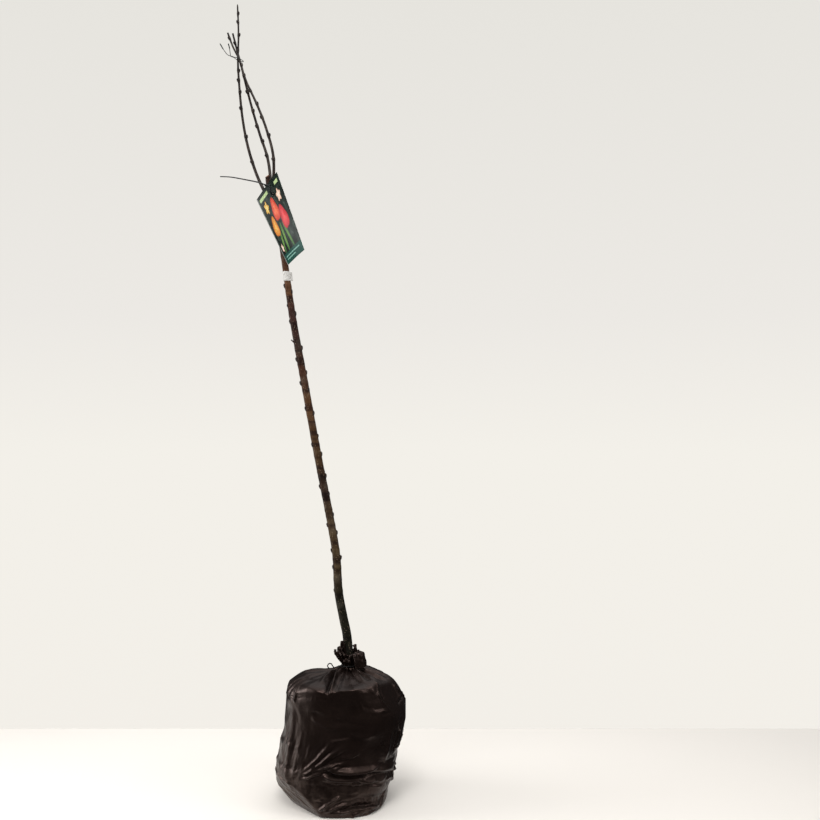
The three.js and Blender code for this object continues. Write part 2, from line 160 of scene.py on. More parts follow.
def turnedOut(piece):  # faces point outwards
    work = bmesh.new()
    work.from_mesh(piece.data)
    bmesh.ops.remove_doubles(work, verts=work.verts, dist=1e-6)
    bmesh.ops.recalc_face_normals(work, faces=work.faces)
    work.to_mesh(piece.data)
    work.free()
    return piece


def throughPoints(points, count, closed=False):  # evenly spaced places on a centripetal spline
    pts = [Vector(p) for p in points]
    n = len(pts)
    if closed:
        ext = [pts[-1]] + pts + [pts[0], pts[1]]
        spans = n
    else:
        ext = [pts[0] * 2 - pts[1]] + pts + [pts[-1] * 2 - pts[-2]]
        spans = n - 1
    dense = []
    per = 24
    for s in range(spans):
        p0, p1, p2, p3 = ext[s:s + 4]
        d0 = max(1e-4, (p1 - p0).length ** 0.5)
        d1 = max(1e-4, (p2 - p1).length ** 0.5)
        d2 = max(1e-4, (p3 - p2).length ** 0.5)
        m1 = ((p1 - p0) / d0 - (p2 - p0) / (d0 + d1) + (p2 - p1) / d1) * d1
        m2 = ((p2 - p1) / d1 - (p3 - p1) / (d1 + d2) + (p3 - p2) / d2) * d1
        for k in range(per):
            t = k / per
            dense.append(p1 * (2 * t ** 3 - 3 * t ** 2 + 1) + m1 * (t ** 3 - 2 * t ** 2 + t)
                         + p2 * (-2 * t ** 3 + 3 * t ** 2) + m2 * (t ** 3 - t ** 2))
    dense.append(pts[0].copy() if closed else pts[-1].copy())
    arr = np.array([tuple(p) for p in dense])
    step = np.linalg.norm(np.diff(arr, axis=0), axis=1)
    along = np.concatenate([[0], np.cumsum(step)])
    want = np.linspace(0, along[-1], count + 1)
    if closed:
        want = want[:-1]
    return np.stack([np.interp(want, along, arr[:, i]) for i in range(3)], 1)


def smoothStep(t):
    t = np.clip(t, 0, 1)
    return t * t * (3 - 2 * t)


# camera, floor and light

studio = {
    "eye": (0.1669, -2.310, 0.950),
    "tiltDown": 0.3,
    "lens": 41.93,
    "sensorWidth": 36,
    "floor": "#e5e0d9",
    # the board lies in three pieces: left, right, near and far edge, and whether the dark film mirrors it
    "boards": {
        "floorBack": (-6.0, 0.25, -0.17, 0.49, True),
        "floorRight": (0.25, 6.0, -0.17, 0.49, False),
        "floorFront": (-6.0, 6.0, -6.0, -0.17, False),
    },
    # the pale air behind everything, from low to high
    "backdrop": [(0.0, "#f3efe8"), (0.45, "#f3f0e9"), (0.6, "#ece9e4"), (1.0, "#e5e3dd")],
    # place, aim, size, power, spread, and whether it shows in glossy skins
    "lamps": {
        "overheadLamp": ((0.5, -0.1, 3.0), (0.05, 0.0, 0.2), (1.4, 0.7), 9, 170, True),
        "leftLamp": ((-1.9, 0.0, 0.9), (0, 0, 0.35), (1.1, 1.6), 9.5, 90, True),
        "highPanel": ((-0.12, -1.45, 2.4), (0.0, -0.1, 0.12), (0.8, 0.9), 11, 120, True),
        "rightPanel": ((2.1, -0.9, 1.5), (0.0, 0.0, 0.25), (0.7, 1.0), 3, 90, True),
        "frontLamp": ((-1.3, -2.2, 1.7), (0.0, 0.0, 0.9), (1.6, 1.6), 8, 150, False),
    },
    # how bright the air is: for matt skins all round, and what glossy ones mirror overhead and at eye level
    "airAround": 0.71,
    "airOverhead": 1.1,
    "airLevel": 0.035,
    "airTowards": (0.1, 0.26, 0.96),
    "airFrom": 0.6,
}


def placeCamera():
    data = bpy.data.cameras.new("studioCamera")
    data.lens = studio["lens"]
    data.sensor_width = studio["sensorWidth"]
    camera = placed("studioCamera", data)
    camera.location = studio["eye"]
    camera.rotation_euler = (math.radians(90 - studio["tiltDown"]), 0, 0)
    bpy.context.scene.camera = camera


def layFloor():
    # painted board: flat, with a very faint mottle
    paint, tree, shader = newMaterial("floorPaint", {"Roughness": 0.7})
    spot = addNode(tree, "TexCoord").outputs["Object"]
    mottle = addNode(tree, "TexNoise", {"Scale": 1.6, "Detail": 3.0}, {"Vector": spot})
    base = linear(studio["floor"])
    darker = tuple(c * 0.975 for c in base[:3]) + (1,)
    tint = addNode(tree, "Mix", {"data_type": "RGBA", 6: darker, 7: base}, {0: mottle})
    linkTo(shader, {"Base Color": tint.outputs[2]})
    top = -0.5 * mm  # just clear of the root ball
    for name, (left, right, near, far, mirrored) in studio["boards"].items():
        corners = [(left, near, top), (right, near, top), (right, far, top), (left, far, top)]
        board = meshPiece(name, corners, [(0, 1, 2, 3)], [paint], smooth=False)
        board.visible_glossy = mirrored


def hangLamps():
    for name, (place, aim, size, power, spread, glints) in studio["lamps"].items():
        data = bpy.data.lights.new(name, "AREA")
        data.shape = "RECTANGLE"
        data.size, data.size_y = size
        data.energy = power
        data.spread = math.radians(spread)
        lamp = placed(name, data)
        lamp.visible_glossy = glints
        lamp.location = place
        lamp.rotation_euler = (Vector(aim) - Vector(place)).to_track_quat("-Z", "Y").to_euler()


def fillAir():
    # even for matt skins, bright overhead for glossy ones, and a pale backdrop where it is looked at
    world = bpy.data.worlds.new("studioAir")
    bpy.context.scene.world = world
    world.use_nodes = True
    air = world.node_tree
    white = (1, 1, 1, 1)
    facing = addNode(air, "TexCoord").outputs["Generated"]
    overhead = addNode(air, "VectorMath", {"operation": "DOT_PRODUCT", 1: studio["airTowards"]}, {0: facing})
    rise = addNode(air, "MapRange", {"From Min": studio["airFrom"], "From Max": 0.95,
                                     "To Min": studio["airLevel"], "To Max": studio["airOverhead"]},
                   {"Value": overhead.outputs["Value"]})
    mirrored = addNode(air, "Background", {"Color": white}, {"Strength": rise})
    even = addNode(air, "Background", {"Color": white, "Strength": studio["airAround"]})
    height = addNode(air, "SeparateXYZ", {}, {"Vector": facing}).outputs["Z"]
    band = addNode(air, "MapRange", {"From Min": -0.45, "From Max": 0.45}, {"Value": height})
    tone = addNode(air, "ValToRGB", {"stops": studio["backdrop"]}, {"Fac": band})
    backdrop = addNode(air, "Background", {}, {"Color": tone})
    path = addNode(air, "LightPath").outputs
    lit = addNode(air, "MixShader", {}, {0: path["Is Glossy Ray"], 1: even, 2: mirrored})
    seen = addNode(air, "MixShader", {}, {0: path["Is Camera Ray"], 1: lit, 2: backdrop})
    linkTo(air.nodes["World Output"], {"Surface": seen})


placeCamera()
layFloor()
hangLamps()
fillAir()
bpy.context.scene.view_settings.view_transform = "Standard"
print("studio ready")


# root ball in its film

ball = {
    # height, then how far the film reaches left, right, forward and back
    "levels": [
        (0, -98, 98, -113, 104), (5, -112, 106, -119, 111), (16, -125, 110, -122, 116),
        (43, -145, 113, -125, 123), (65, -155, 125, -126, 127), (80, -156, 127, -126, 128),
        (100, -154, 130, -128, 128),
        (125, -148, 134, -128, 128), (160, -142, 144, -128, 128), (183, -137, 150, -128, 128),
        (216, -134, 157, -127, 127), (243, -132, 155, -127, 122), (266, -131, 143, -127, 113),
        (280, -126, 133, -126.5, 102), (289, -121, 125, -125.5, 94), (295, -113, 117, -122.5, 88),
        (298.6, -105, 109, -115, 83), (303.5, -92, 94, -88, 72), (309.5, -54, 64, -46, 48),
        (311.5, 2, 38, -18, 18), (311.8, 5, 35, -15, 15),
    ],
    # how far the rim of the shoulder rises or sinks, by bearing
    "rim": [(-180, 0), (-158, -7), (-142, -7), (-124, 1), (-112, 0), (-99, -7), (-88, 3), (-72, 5), (-58, 2),
            (-48, 6), (-36, -3), (-16, 2), (20, -3), (60, 3), (104, -3), (146, 3), (180, 0)],
    # a bulge and a hollow at the foot: how far out, bearing, spread, below which height, over how much of it
    "feet": [(8, -47, 15, 34, 30), (-7, -140, 24, 70, 50)],
    "columns": 416,
    "rows": 225,
    "frontFiner": 0.28,   # columns stand closer in front
    "squareness": 2.25,
    "neckAt": (20, 0),
    "crown": 312,
    "seed": 7,
    "slackFolds": 70,
    "reliefKept": (-10.5, 10),
    "span": ((-155.5, 156.6), (-134.6, 128.4)),   # sideways and in depth
}

# folds that the weight and the drawn neck put in the film: height of the ridge (a valley is negative),
# half width, then places along it in mm
folds = [
    # fan of tension folds rising from the pinch at the lower left
    (1.7, 3.6, [(-70, -97, 106), (-40, -112, 146), (-6, -124, 190)]),
    (-2.0, 3.4, [(-78, -92, 92), (-42, -112, 130), (4, -124, 181)]),
    (1.9, 3.4, [(-66, -100, 104), (-30, -116, 137), (26, -124, 182)]),
    (-2.8, 3.4, [(-70, -97, 96), (-16, -118, 136), (34, -122, 172)]),
    (2.0, 3.0, [(-16, -122, 180), (10, -124, 186), (38, -122, 192)]),
    (-3.8, 3.0, [(-66, -100, 92), (-14, -121, 114), (40, -122, 130)]),
    (2.8, 2.4, [(-72, -98, 94), (-36, -114, 106), (4, -122, 112)]),
    # long belt of folds across the lower front
    (-9.0, 6.0, [(-34, -118, 112), (-8, -122, 105), (30, -124, 100), (76, -104, 98), (108, -62, 90),
                 (130, -6, 72)]),
    (-3.0, 4.0, [(-40, -116, 94), (0, -123, 82), (50, -116, 76), (98, -72, 68)]),
    (3.0, 3.2, [(-30, -120, 88), (18, -124, 82), (66, -108, 74), (100, -60, 62)]),
    (3.4, 3.4, [(30, -122, 78), (66, -106, 84), (92, -82, 96)]),
    # folds under the belt and round the gathered corner
    (3.2, 2.4, [(-42, -116, 26), (-14, -124, 44), (12, -124, 58)]),
    (-3.2, 3.4, [(-38, -116, 20), (-6, -124, 34), (26, -124, 46)]),
    (-4.0, 3.6, [(-22, -120, 18), (20, -124, 27), (60, -114, 31), (88, -92, 24)]),
    (5.0, 3.0, [(0, -122, 14), (40, -121, 22), (76, -106, 24), (98, -84, 16)]),
    (-4.6, 3.6, [(34, -116, 6), (66, -108, 13), (92, -86, 9)]),
    (4.0, 3.0, [(96, -76, 8), (106, -52, 30), (116, -20, 52)]),
    (-3.4, 3.4, [(100, -66, 22), (112, -34, 46), (124, 6, 64)]),
    # small crinkles where the film turns under at the lower left
    (-2.6, 3.0, [(-132, -34, 76), (-112, -62, 44), (-86, -88, 14)]),
    (2.4, 2.6, [(-144, -14, 66), (-124, -46, 40), (-102, -68, 10)]),
    (2.4, 2.4, [(-146, -12, 92), (-122, -58, 82), (-84, -96, 70)]),
    (-2.4, 2.6, [(-128, -46, 98), (-110, -70, 66), (-70, -104, 48)]),
    (2.2, 2.4, [(-118, -60, 60), (-92, -88, 44), (-60, -106, 20)]),
    # drawn top: the deep crease left of the neck and the lobe beside it
    (-9.5, 4.2, [(-2, -10, 311), (-13, -40, 308), (-19, -78, 302), (-23, -112, 294), (-25, -123, 280)]),
    (4.6, 7.0, [(8, -14, 311), (-2, -42, 307), (-9, -74, 302), (-14, -106, 296), (-17, -122, 284)]),
    (3.6, 6.0, [(-2, -8, 311), (-22, -34, 308), (-36, -66, 303), (-42, -98, 296)]),
    (-4.2, 5.0, [(2, -6, 311), (-30, -14, 308), (-66, -26, 303), (-98, -36, 292)]),
    (3.6, 5.0, [(2, -2, 311), (-30, 2, 309), (-70, 4, 304), (-106, 6, 294)]),
    (-5.0, 4.6, [(22, -16, 311), (28, -40, 307), (42, -66, 299), (52, -90, 284)]),
    (4.0, 5.0, [(30, -13, 311), (48, -34, 306), (66, -56, 299), (78, -76, 290)]),
    (-4.6, 5.0, [(34, -8, 311), (60, -20, 307), (86, -34, 300), (108, -46, 288)]),
    (3.6, 5.0, [(36, 0, 311), (62, -2, 308), (92, -6, 302), (118, -8, 288)]),
    # flat facet on the right shoulder, with its edge running down the front
    (3.4, 4.0, [(66, -44, 302), (80, -80, 292), (100, -90, 262), (122, -78, 234)]),
    (2.6, 4.0, [(104, -20, 298), (132, -34, 268), (150, -26, 236)]),
    # left shoulder folds
    (3.4, 4.6, [(-128, -40, 262), (-112, -36, 286), (-84, -30, 299)]),
    (-3.0, 5.0, [(-120, -58, 262), (-100, -56, 284), (-72, -46, 297)]),
    (3.2, 4.4, [(-100, -82, 258), (-84, -74, 280), (-58, -62, 295)]),
    # upright slack on the left and right walls
    (2.2, 8.0, [(-108, -84, 262), (-112, -88, 200), (-118, -84, 140), (-112, -84, 84), (-84, -98, 22)]),
    (2.6, 4.4, [(-142, -20, 180), (-150, -16, 120), (-150, -12, 60)]),
    (-2.6, 5.0, [(140, -52, 226), (130, -62, 170), (120, -68, 120)]),
    (2.8, 4.6, [(148, -34, 232), (138, -42, 180), (128, -46, 126)]),
    (2.4, 5.0, [(118, -78, 200), (112, -82, 150), (104, -84, 116)]),
    # slack across the upper front
    (2.2, 7.0, [(-60, -106, 236), (-20, -122, 214), (20, -124, 216)]),
    (-2.0, 7.0, [(-10, -122, 232), (34, -122, 224), (78, -108, 214)]),
    (2.2, 6.0, [(24, -124, 200), (58, -118, 192), (90, -102, 196)]),
]


# folds that lean over: height, how far the slope above and the drop below it run, then places along it
ledges = [
    (10.0, 14.0, 3.4, [(-22, -124, 118), (14, -124, 111), (46, -121, 109), (74, -106, 111), (98, -86, 121)]),
    (5.0, 8.0, 4.0, [(-40, -117, 106), (-14, -122, 98), (22, -124, 90), (66, -110, 86), (104, -62, 76)]),
    (3.6, 9.0, 3.0, [(8, -124, 143), (32, -124, 147), (54, -120, 156)]),
    (4.4, 5.0, 3.0, [(-78, -94, 98), (-26, -118, 122), (30, -124, 138), (38, -124, 141)]),
    (3.4, 6.0, 3.4, [(-44, -114, 26), (-10, -124, 46), (16, -124, 58)]),
    (4.6, 7.0, 3.4, [(-36, -118, 20), (10, -125, 34), (50, -120, 40), (80, -104, 36)]),
    (6.5, 9.0, 4.0, [(26, -118, 4), (58, -113, 12), (88, -92, 20), (104, -70, 18)]),
    (4.0, 8.0, 4.0, [(116, -60, 214), (128, -42, 180), (132, -24, 140)]),
]

# flat places where the film is drawn straight over the ball: bearing, rise, depth cut off the round
flats = [
    (-29, 24, 11), (180, 60, 7.5), (-150, 44, 3), (-58, 62, 2), (24, 30, 8), (62, 46, 7), (104, 28, 8),
    (148, 42, 7), (-36, -28, 7), (-139, -32, 15), (-160, -20, 4), (38, -26, 6), (118, -24, 7), (78, 2, 4),
    (172, 4, 4),
]

# broad shapes under the folds: height, reach, middle
swells = [
    (3.0, 20, (84, -84, 292)),     # raised corner at the right front, over the steep flat
    (3.5, 30, (-72, -90, 294)),
    (5.5, 26, (18, -42, 309)),     # bright lobe right of the crease, falling to the rim
    (-4.5, 24, (10, -112, 294)),
    (-8.0, 34, (-36, 50, 306)),    # the top sinks behind the cord's loop
    (7.5, 15, (-1, -32, 308)),     # small bright lobe against the crease
    (-2.5, 46, (-70, -112, 190)),
    (2.5, 40, (30, -124, 214)),
    (-2.5, 40, (84, -108, 180)),
    (3.0, 30, (-120, -70, 96)),
    (-3.0, 26, (60, -112, 56)),
    (3.0, 40, (-110, 70, 120)), (-3.0, 44, (-40, 124, 200)), (3.0, 38, (60, 118, 110)),
    (-3.0, 40, (140, 40, 170)), (2.5, 30, (20, 126, 250)), (-3.0, 30, (-120, 50, 250)),
]


def ballRings():  # smooth rings through the levels, evenly spaced down the outside
    levels = np.array(ball["levels"], float)
    reach = np.abs(np.diff(levels[:, 1:], axis=0)).mean(axis=1)
    path = np.concatenate([[0], np.cumsum(np.hypot(np.diff(levels[:, 0]), reach))])
    want = np.linspace(0, path[-1], ball["rows"])
    slope = np.gradient(levels, path, axis=0)
    slot = np.clip(np.searchsorted(path, want) - 1, 0, len(path) - 2)
    h = (path[slot + 1] - path[slot])[:, None]
    t = ((want - path[slot]) / h[:, 0])[:, None]
    rings = (levels[slot] * (2 * t ** 3 - 3 * t ** 2 + 1) + slope[slot] * h * (t ** 3 - 2 * t ** 2 + t)
             + levels[slot + 1] * (-2 * t ** 3 + 3 * t ** 2) + slope[slot + 1] * h * (t ** 3 - t ** 2))
    rings[:, 0] = np.clip(rings[:, 0], 0, ball["crown"])
    return [rings[:, i:i + 1] for i in range(5)]


def ballSurface():
    z, left, right, front, rear = ballRings()
    angle = np.linspace(-180, 180, ball["columns"], endpoint=False)[None, :]
    angle = angle - ball["frontFiner"] * np.degrees(np.sin(np.radians(angle + 90)))
    c, s = np.cos(np.radians(angle)), np.sin(np.radians(angle))
    n = 2 + (ball["squareness"] - 2) * smoothStep((309 - z) / 12)
    r = 1 / ((np.abs(c) / ((right - left) / 2)) ** n + (np.abs(s) / ((rear - front) / 2)) ** n) ** (1 / n)
    # gentle lumps on the wall, and flutes round the shoulder
    top = smoothStep((311 - z) / 8)
    lump = np.sin(np.radians(angle * 3 + z * 0.9 + 40)) + np.sin(np.radians(angle * 5 - z * 1.3))
    flute = smoothStep((z - 240) / 40) * top * 2.2 * np.sin(np.radians(angle * 9 + 30))
    r = r + lump * 1.3 * (smoothStep(z / 30) * top) + flute
    for more, bearing, spread, below, over in ball["feet"]:
        r = r + more * np.exp(-((angle - bearing) / spread) ** 2) * smoothStep((below - z) / over)
    x = (left + right) / 2 + c * r
    y = (front + rear) / 2 + s * r
    bearings, rises = np.array(ball["rim"], float).T
    rim = np.interp((np.degrees(np.arctan2(y, x)) + 180) % 360 - 180, bearings, rises)
    return np.stack([x, y, z + rim * np.exp(-((z - 290) / 12) ** 2)], 2)


def surfaceNormals(grid):
    around = np.roll(grid, -1, 1) - np.roll(grid, 1, 1)
    up = np.gradient(grid, axis=0)
    n = np.cross(around, up)
    return n / np.maximum(np.linalg.norm(n, axis=2, keepdims=True), 1e-9)


def layFold(grid, normals, relief, depth, width, places, drop=None):
    # a ridge with a valley along one side, or with a drop given, a slope that ends in a steep lip
    flat = grid.reshape(-1, 3)
    places = throughPoints(places, 60)
    near = np.array([flat[np.argmin(((flat - p) ** 2).sum(1))] for p in places[::5]])
    line = throughPoints(near, 90)
    low, high = line.min(0) - width * 4 - 4, line.max(0) + width * 4 + 4
    inside = np.where(((flat > low) & (flat < high)).all(1))[0]
    if not len(inside):
        return
    pts = flat[inside]
    d2 = ((pts[:, None, :] - line[None, :, :]) ** 2).sum(2)
    k = d2.argmin(1)
    d = np.sqrt(d2[np.arange(len(pts)), k])
    tangent = np.gradient(line, axis=0)[k]
    side = np.sign(np.einsum("ij,ij->i", np.cross(tangent, pts - line[k]), normals.reshape(-1, 3)[inside]))
    t = k / (len(line) - 1)
    taper = smoothStep(t / 0.12) * smoothStep((1 - t) / 0.3)
    if drop is None:
        valley = 0.45 * np.exp(-((side * d - width * 1.9) / (width * 1.1)) ** 2)
        shape = np.exp(-(d / (width * 0.9)) ** 1.4) - valley
    else:
        above = side > 0
        shape = np.where(above, np.clip(1 - d / width, 0, 1), np.clip(1 - d / drop, 0, 1) ** 0.8)
    relief.reshape(-1)[inside] += depth * taper * shape


slack = {
    # share by which the film is longer than the ball under it
    "around": 0.017, "upwards": 0.026,
    # how far a point may move, in mm
    "inward": 4.5, "outward": 5.5, "sideways": 4.0,
    # from coarse to fine: every which point, rounds, stiffness against bending
    "passes": [(4, 160, 0.10), (2, 80, 0.09), (1, 30, 0.07)],
}


def slackShares(base):  # more slack low down and along the belt, and in slow waves between
    x, y, z = base[:, :, 0], base[:, :, 1], base[:, :, 2]
    turn = np.degrees(np.arctan2(y, x))
    belt = np.exp(-((z - 98 + 0.25 * (turn + 90)) / 30) ** 2)
    belt = belt * smoothStep(np.abs((turn + 300) % 360 - 180) / 60)
    low = smoothStep((70 - z) / 40)
    wave = np.sin(np.radians(turn * 3 + 40)) * np.sin(z / 26 + np.radians(turn))
    edge = smoothStep(z / 14) * smoothStep((304 - z) / 16)
    off = np.abs((turn + 116 + 180) % 360 - 180)
    front = smoothStep((104 - off) / 34) * smoothStep((z - 98) / 22) * smoothStep((290 - z) / 24)
    around = slack["around"] * (0.4 + 0.7 * low + 0.5 * belt + 0.35 * wave) * (1 - 0.85 * front)
    upwards = slack["upwards"] * (0.2 + 1.0 * low + 1.2 * belt + 0.3 * wave) * (1 - 0.85 * front)
    return np.maximum(around, 0) * edge, np.maximum(upwards, 0) * edge


def threads(base, around, upwards, bending):  # pairs of points with the length of film between them
    rows, columns = base.shape[:2]
    both = (around + upwards) / 2
    runs = [(0, 1, around, 1.0), (1, 0, upwards, 1.0), (1, 1, both, 0.6), (1, -1, both, 0.6),
            (0, 2, around, bending), (2, 0, upwards, bending)]
    found = []
    for down, across, extra, firm in runs:
        r, c = np.arange(rows - down), np.arange(columns)
        length = np.linalg.norm(np.roll(base, -across, 1)[down:] - base[:rows - down], axis=2)
        length = length * (1 + extra[:rows - down])
        for k in (0, 1):  # every other one, so that no point is moved twice at once
            pickR = r[(r // down) % 2 == k] if down else r
            pickC = c if down else c[(c // across) % 2 == k]
            one = np.ix_(pickR, pickC)
            found.append((one, np.ix_(pickR + down, (pickC + across) % columns), length[one], firm))
    return found


def settleFilm(base, normals, shift):
    # slack film buckles over the ball: threads keep their length, and each point stays near the ball
    around, upwards = slackShares(base)
    for every, rounds, bending in slack["passes"]:
        b, n = base[::every, ::every], normals[::every, ::every]
        held = (smoothStep(b[:, :, 2] / 10) * smoothStep((305 - b[:, :, 2]) / 12))[:, :, None]
        firmTop = 1 - 0.6 * smoothStep((b[:, :, 2:3] - 230) / 40)
        p = b + shift[::every, ::every]
        pairs = threads(b, around[::every, ::every], upwards[::every, ::every], bending)
        for _ in range(rounds):
            for one, two, length, firm in pairs:
                gap = p[two] - p[one]
                now = np.maximum(np.linalg.norm(gap, axis=2), 1e-6)
                pull = (0.5 * firm * (now - length) / now)[:, :, None] * gap
                p[one] += pull * held[one]
                p[two] -= pull * held[two]
            p[:, :, 2] -= 0.02 * every * held[:, :, 0]
            lift = ((p - b) * n).sum(2)[:, :, None]
            side = p - b - n * lift
            reach = np.maximum(np.linalg.norm(side, axis=2), 1e-6)
            side *= np.minimum(1, slack["sideways"] / reach)[:, :, None]
            p = b + side + n * np.clip(lift, -slack["inward"] * firmTop, slack["outward"] * firmTop)
        # spread the coarse result in even steps over the full grid
        coarse = p - b
        rowsAt, columnsAt = np.arange(base.shape[0]) / every, np.arange(base.shape[1]) / every
        r0, c0 = rowsAt.astype(int), columnsAt.astype(int)
        r1, c1 = np.minimum(r0 + 1, coarse.shape[0] - 1), (c0 + 1) % coarse.shape[1]
        t, u = (rowsAt - r0)[:, None, None], (columnsAt - c0)[None, :, None]
        shift = ((coarse[r0][:, c0] * (1 - u) + coarse[r0][:, c1] * u) * (1 - t)
                 + (coarse[r1][:, c0] * (1 - u) + coarse[r1][:, c1] * u) * t)
    return base + shift


def crumpled(grid):
    rows, columns, _ = grid.shape
    crumple = np.zeros((rows, columns))
    for r in range(rows):
        for c in range(columns):
            x, y, z = grid[r, c]
            coarse = noise.noise((x / 42, y / 42, z / 30 + 3))
            fine = noise.ridged_multi_fractal((x / 30 + 9, y / 30, z / 36), 0.9, 2.1, 4, 0.9, 2.0)
            crumple[r, c] = 2.0 * coarse + 0.85 * (fine - 1.2)
    return crumple


def drawnStraight(grid):
    for bearing, rise, cut in flats:
        b, r = math.radians(bearing), math.radians(rise)
        way = np.array([math.cos(b) * math.cos(r), math.sin(b) * math.cos(r), math.sin(r)])
        reach = grid @ way
        over = np.maximum(reach - (reach.max() - cut), 0)
        over = over - 2.2 * (1 - np.exp(-over / 2.2))  # rounded where the flat begins
        grid = grid - way * (0.78 * over)[:, :, None]
    return grid


def slackFolds():  # on the rest of the wall, at random
    rng = random.Random(ball["seed"])
    made = []
    for _ in range(ball["slackFolds"]):
        a = math.radians(rng.uniform(-20, 168))
        low = rng.choice([rng.uniform(10, 60), rng.uniform(60, 130), rng.uniform(120, 240)])
        slant = rng.uniform(-0.5, 0.5)
        rise = rng.uniform(12, 60)
        places = []
        for i in (-1, 0, 1):
            b = a + math.radians(i * rng.uniform(8, 22)) + slant * 0.1
            places.append((math.cos(b) * 138, math.sin(b) * 124, low + rise * i * slant * 1.6 + 20))
        depth = rng.choice([-1, 1]) * rng.uniform(2.0, 4.4)
        made.append((depth, rng.uniform(3.0, 6.0), places))
    return made


def neckPleats(grid):  # pleats that run in to the drawn neck
    dx, dy = grid[:, :, 0] - ball["neckAt"][0], grid[:, :, 1] - ball["neckAt"][1]
    out = np.hypot(dx, dy)
    bearing = np.arctan2(dy, dx)
    top = smoothStep((grid[:, :, 2] - 268) / 30)
    pull = top * smoothStep((out - 13) / 8) * np.exp(-np.maximum(out - 20, 0) / 34)
    wave = (np.sin(bearing * 15 + 0.7) + 0.7 * np.sin(bearing * 23 + 2.1 + np.sin(bearing * 2))
            + 0.5 * np.sin(bearing * 34 + 1.3 * np.sin(bearing * 3)))
    return pull * wave * 2.3


def closedFilm(grid, material):  # the underside is drawn flat to its middle, the crown closed inside the neck
    columns = grid.shape[1]
    rings = []
    for share in (0.05, 0.16, 0.32, 0.5, 0.68, 0.85, 0.97):
        ring = grid[0].copy()
        ring[:, :2] *= share
        ring[:, 2] = 0
        rings.append(ring)
    middles = [[0, 0, 0], [*ball["neckAt"], ball["crown"]]]
    points = np.concatenate([np.array(rings).reshape(-1, 3), grid.reshape(-1, 3), middles]) * mm
    allRows = grid.shape[0] + len(rings)
    faces = gridFaces(allRows, columns)
    last = (allRows - 1) * columns
    bottom, crown = len(points) - 2, len(points) - 1
    for c in range(columns):
        d = (c + 1) % columns
        faces.append((bottom, d, c))
        faces.append((crown, last + c, last + d))
    return meshPiece("rootBallFilm", points, faces, [material])


def buildFilm(material):
    grid = ballSurface()
    normals = surfaceNormals(grid)
    for height, reach, middle in swells:
        near = np.exp(-((grid - np.array(middle)) ** 2).sum(2) / reach ** 2)
        grid = grid + normals * (height * near)[:, :, None]
    smooth, normals = grid, surfaceNormals(grid)
    # crumpled and settled by its own slack, drawn straight in places, then creased
    nx, ny = ball["neckAt"]
    out = np.hypot(grid[:, :, 0] - nx, grid[:, :, 1] - ny)
    fade = smoothStep(grid[:, :, 2] / 8) * smoothStep((out - 14) / 10)
    grid = settleFilm(grid, normals, normals * (crumpled(grid) * fade)[:, :, None])
    grid = drawnStraight(grid)
    relief = np.zeros(grid.shape[:2])
    for depth, width, *lip, places in folds + ledges + slackFolds():
        layFold(smooth, normals, relief, depth, width, places, *lip)
    relief = np.clip(relief + neckPleats(grid), *ball["reliefKept"])
    grid = grid + normals * relief[:, :, None]
    # weight flattens it on the floor, and no fold hangs below it
    grid[:, :, 2] = np.maximum(grid[:, :, 2], 0.0)
    grid[0, :, 2] = 0
    for i, (low, high) in enumerate(ball["span"]):
        grid[:, :, i] = np.clip(grid[:, :, i], low, high)
    return closedFilm(grid, material)


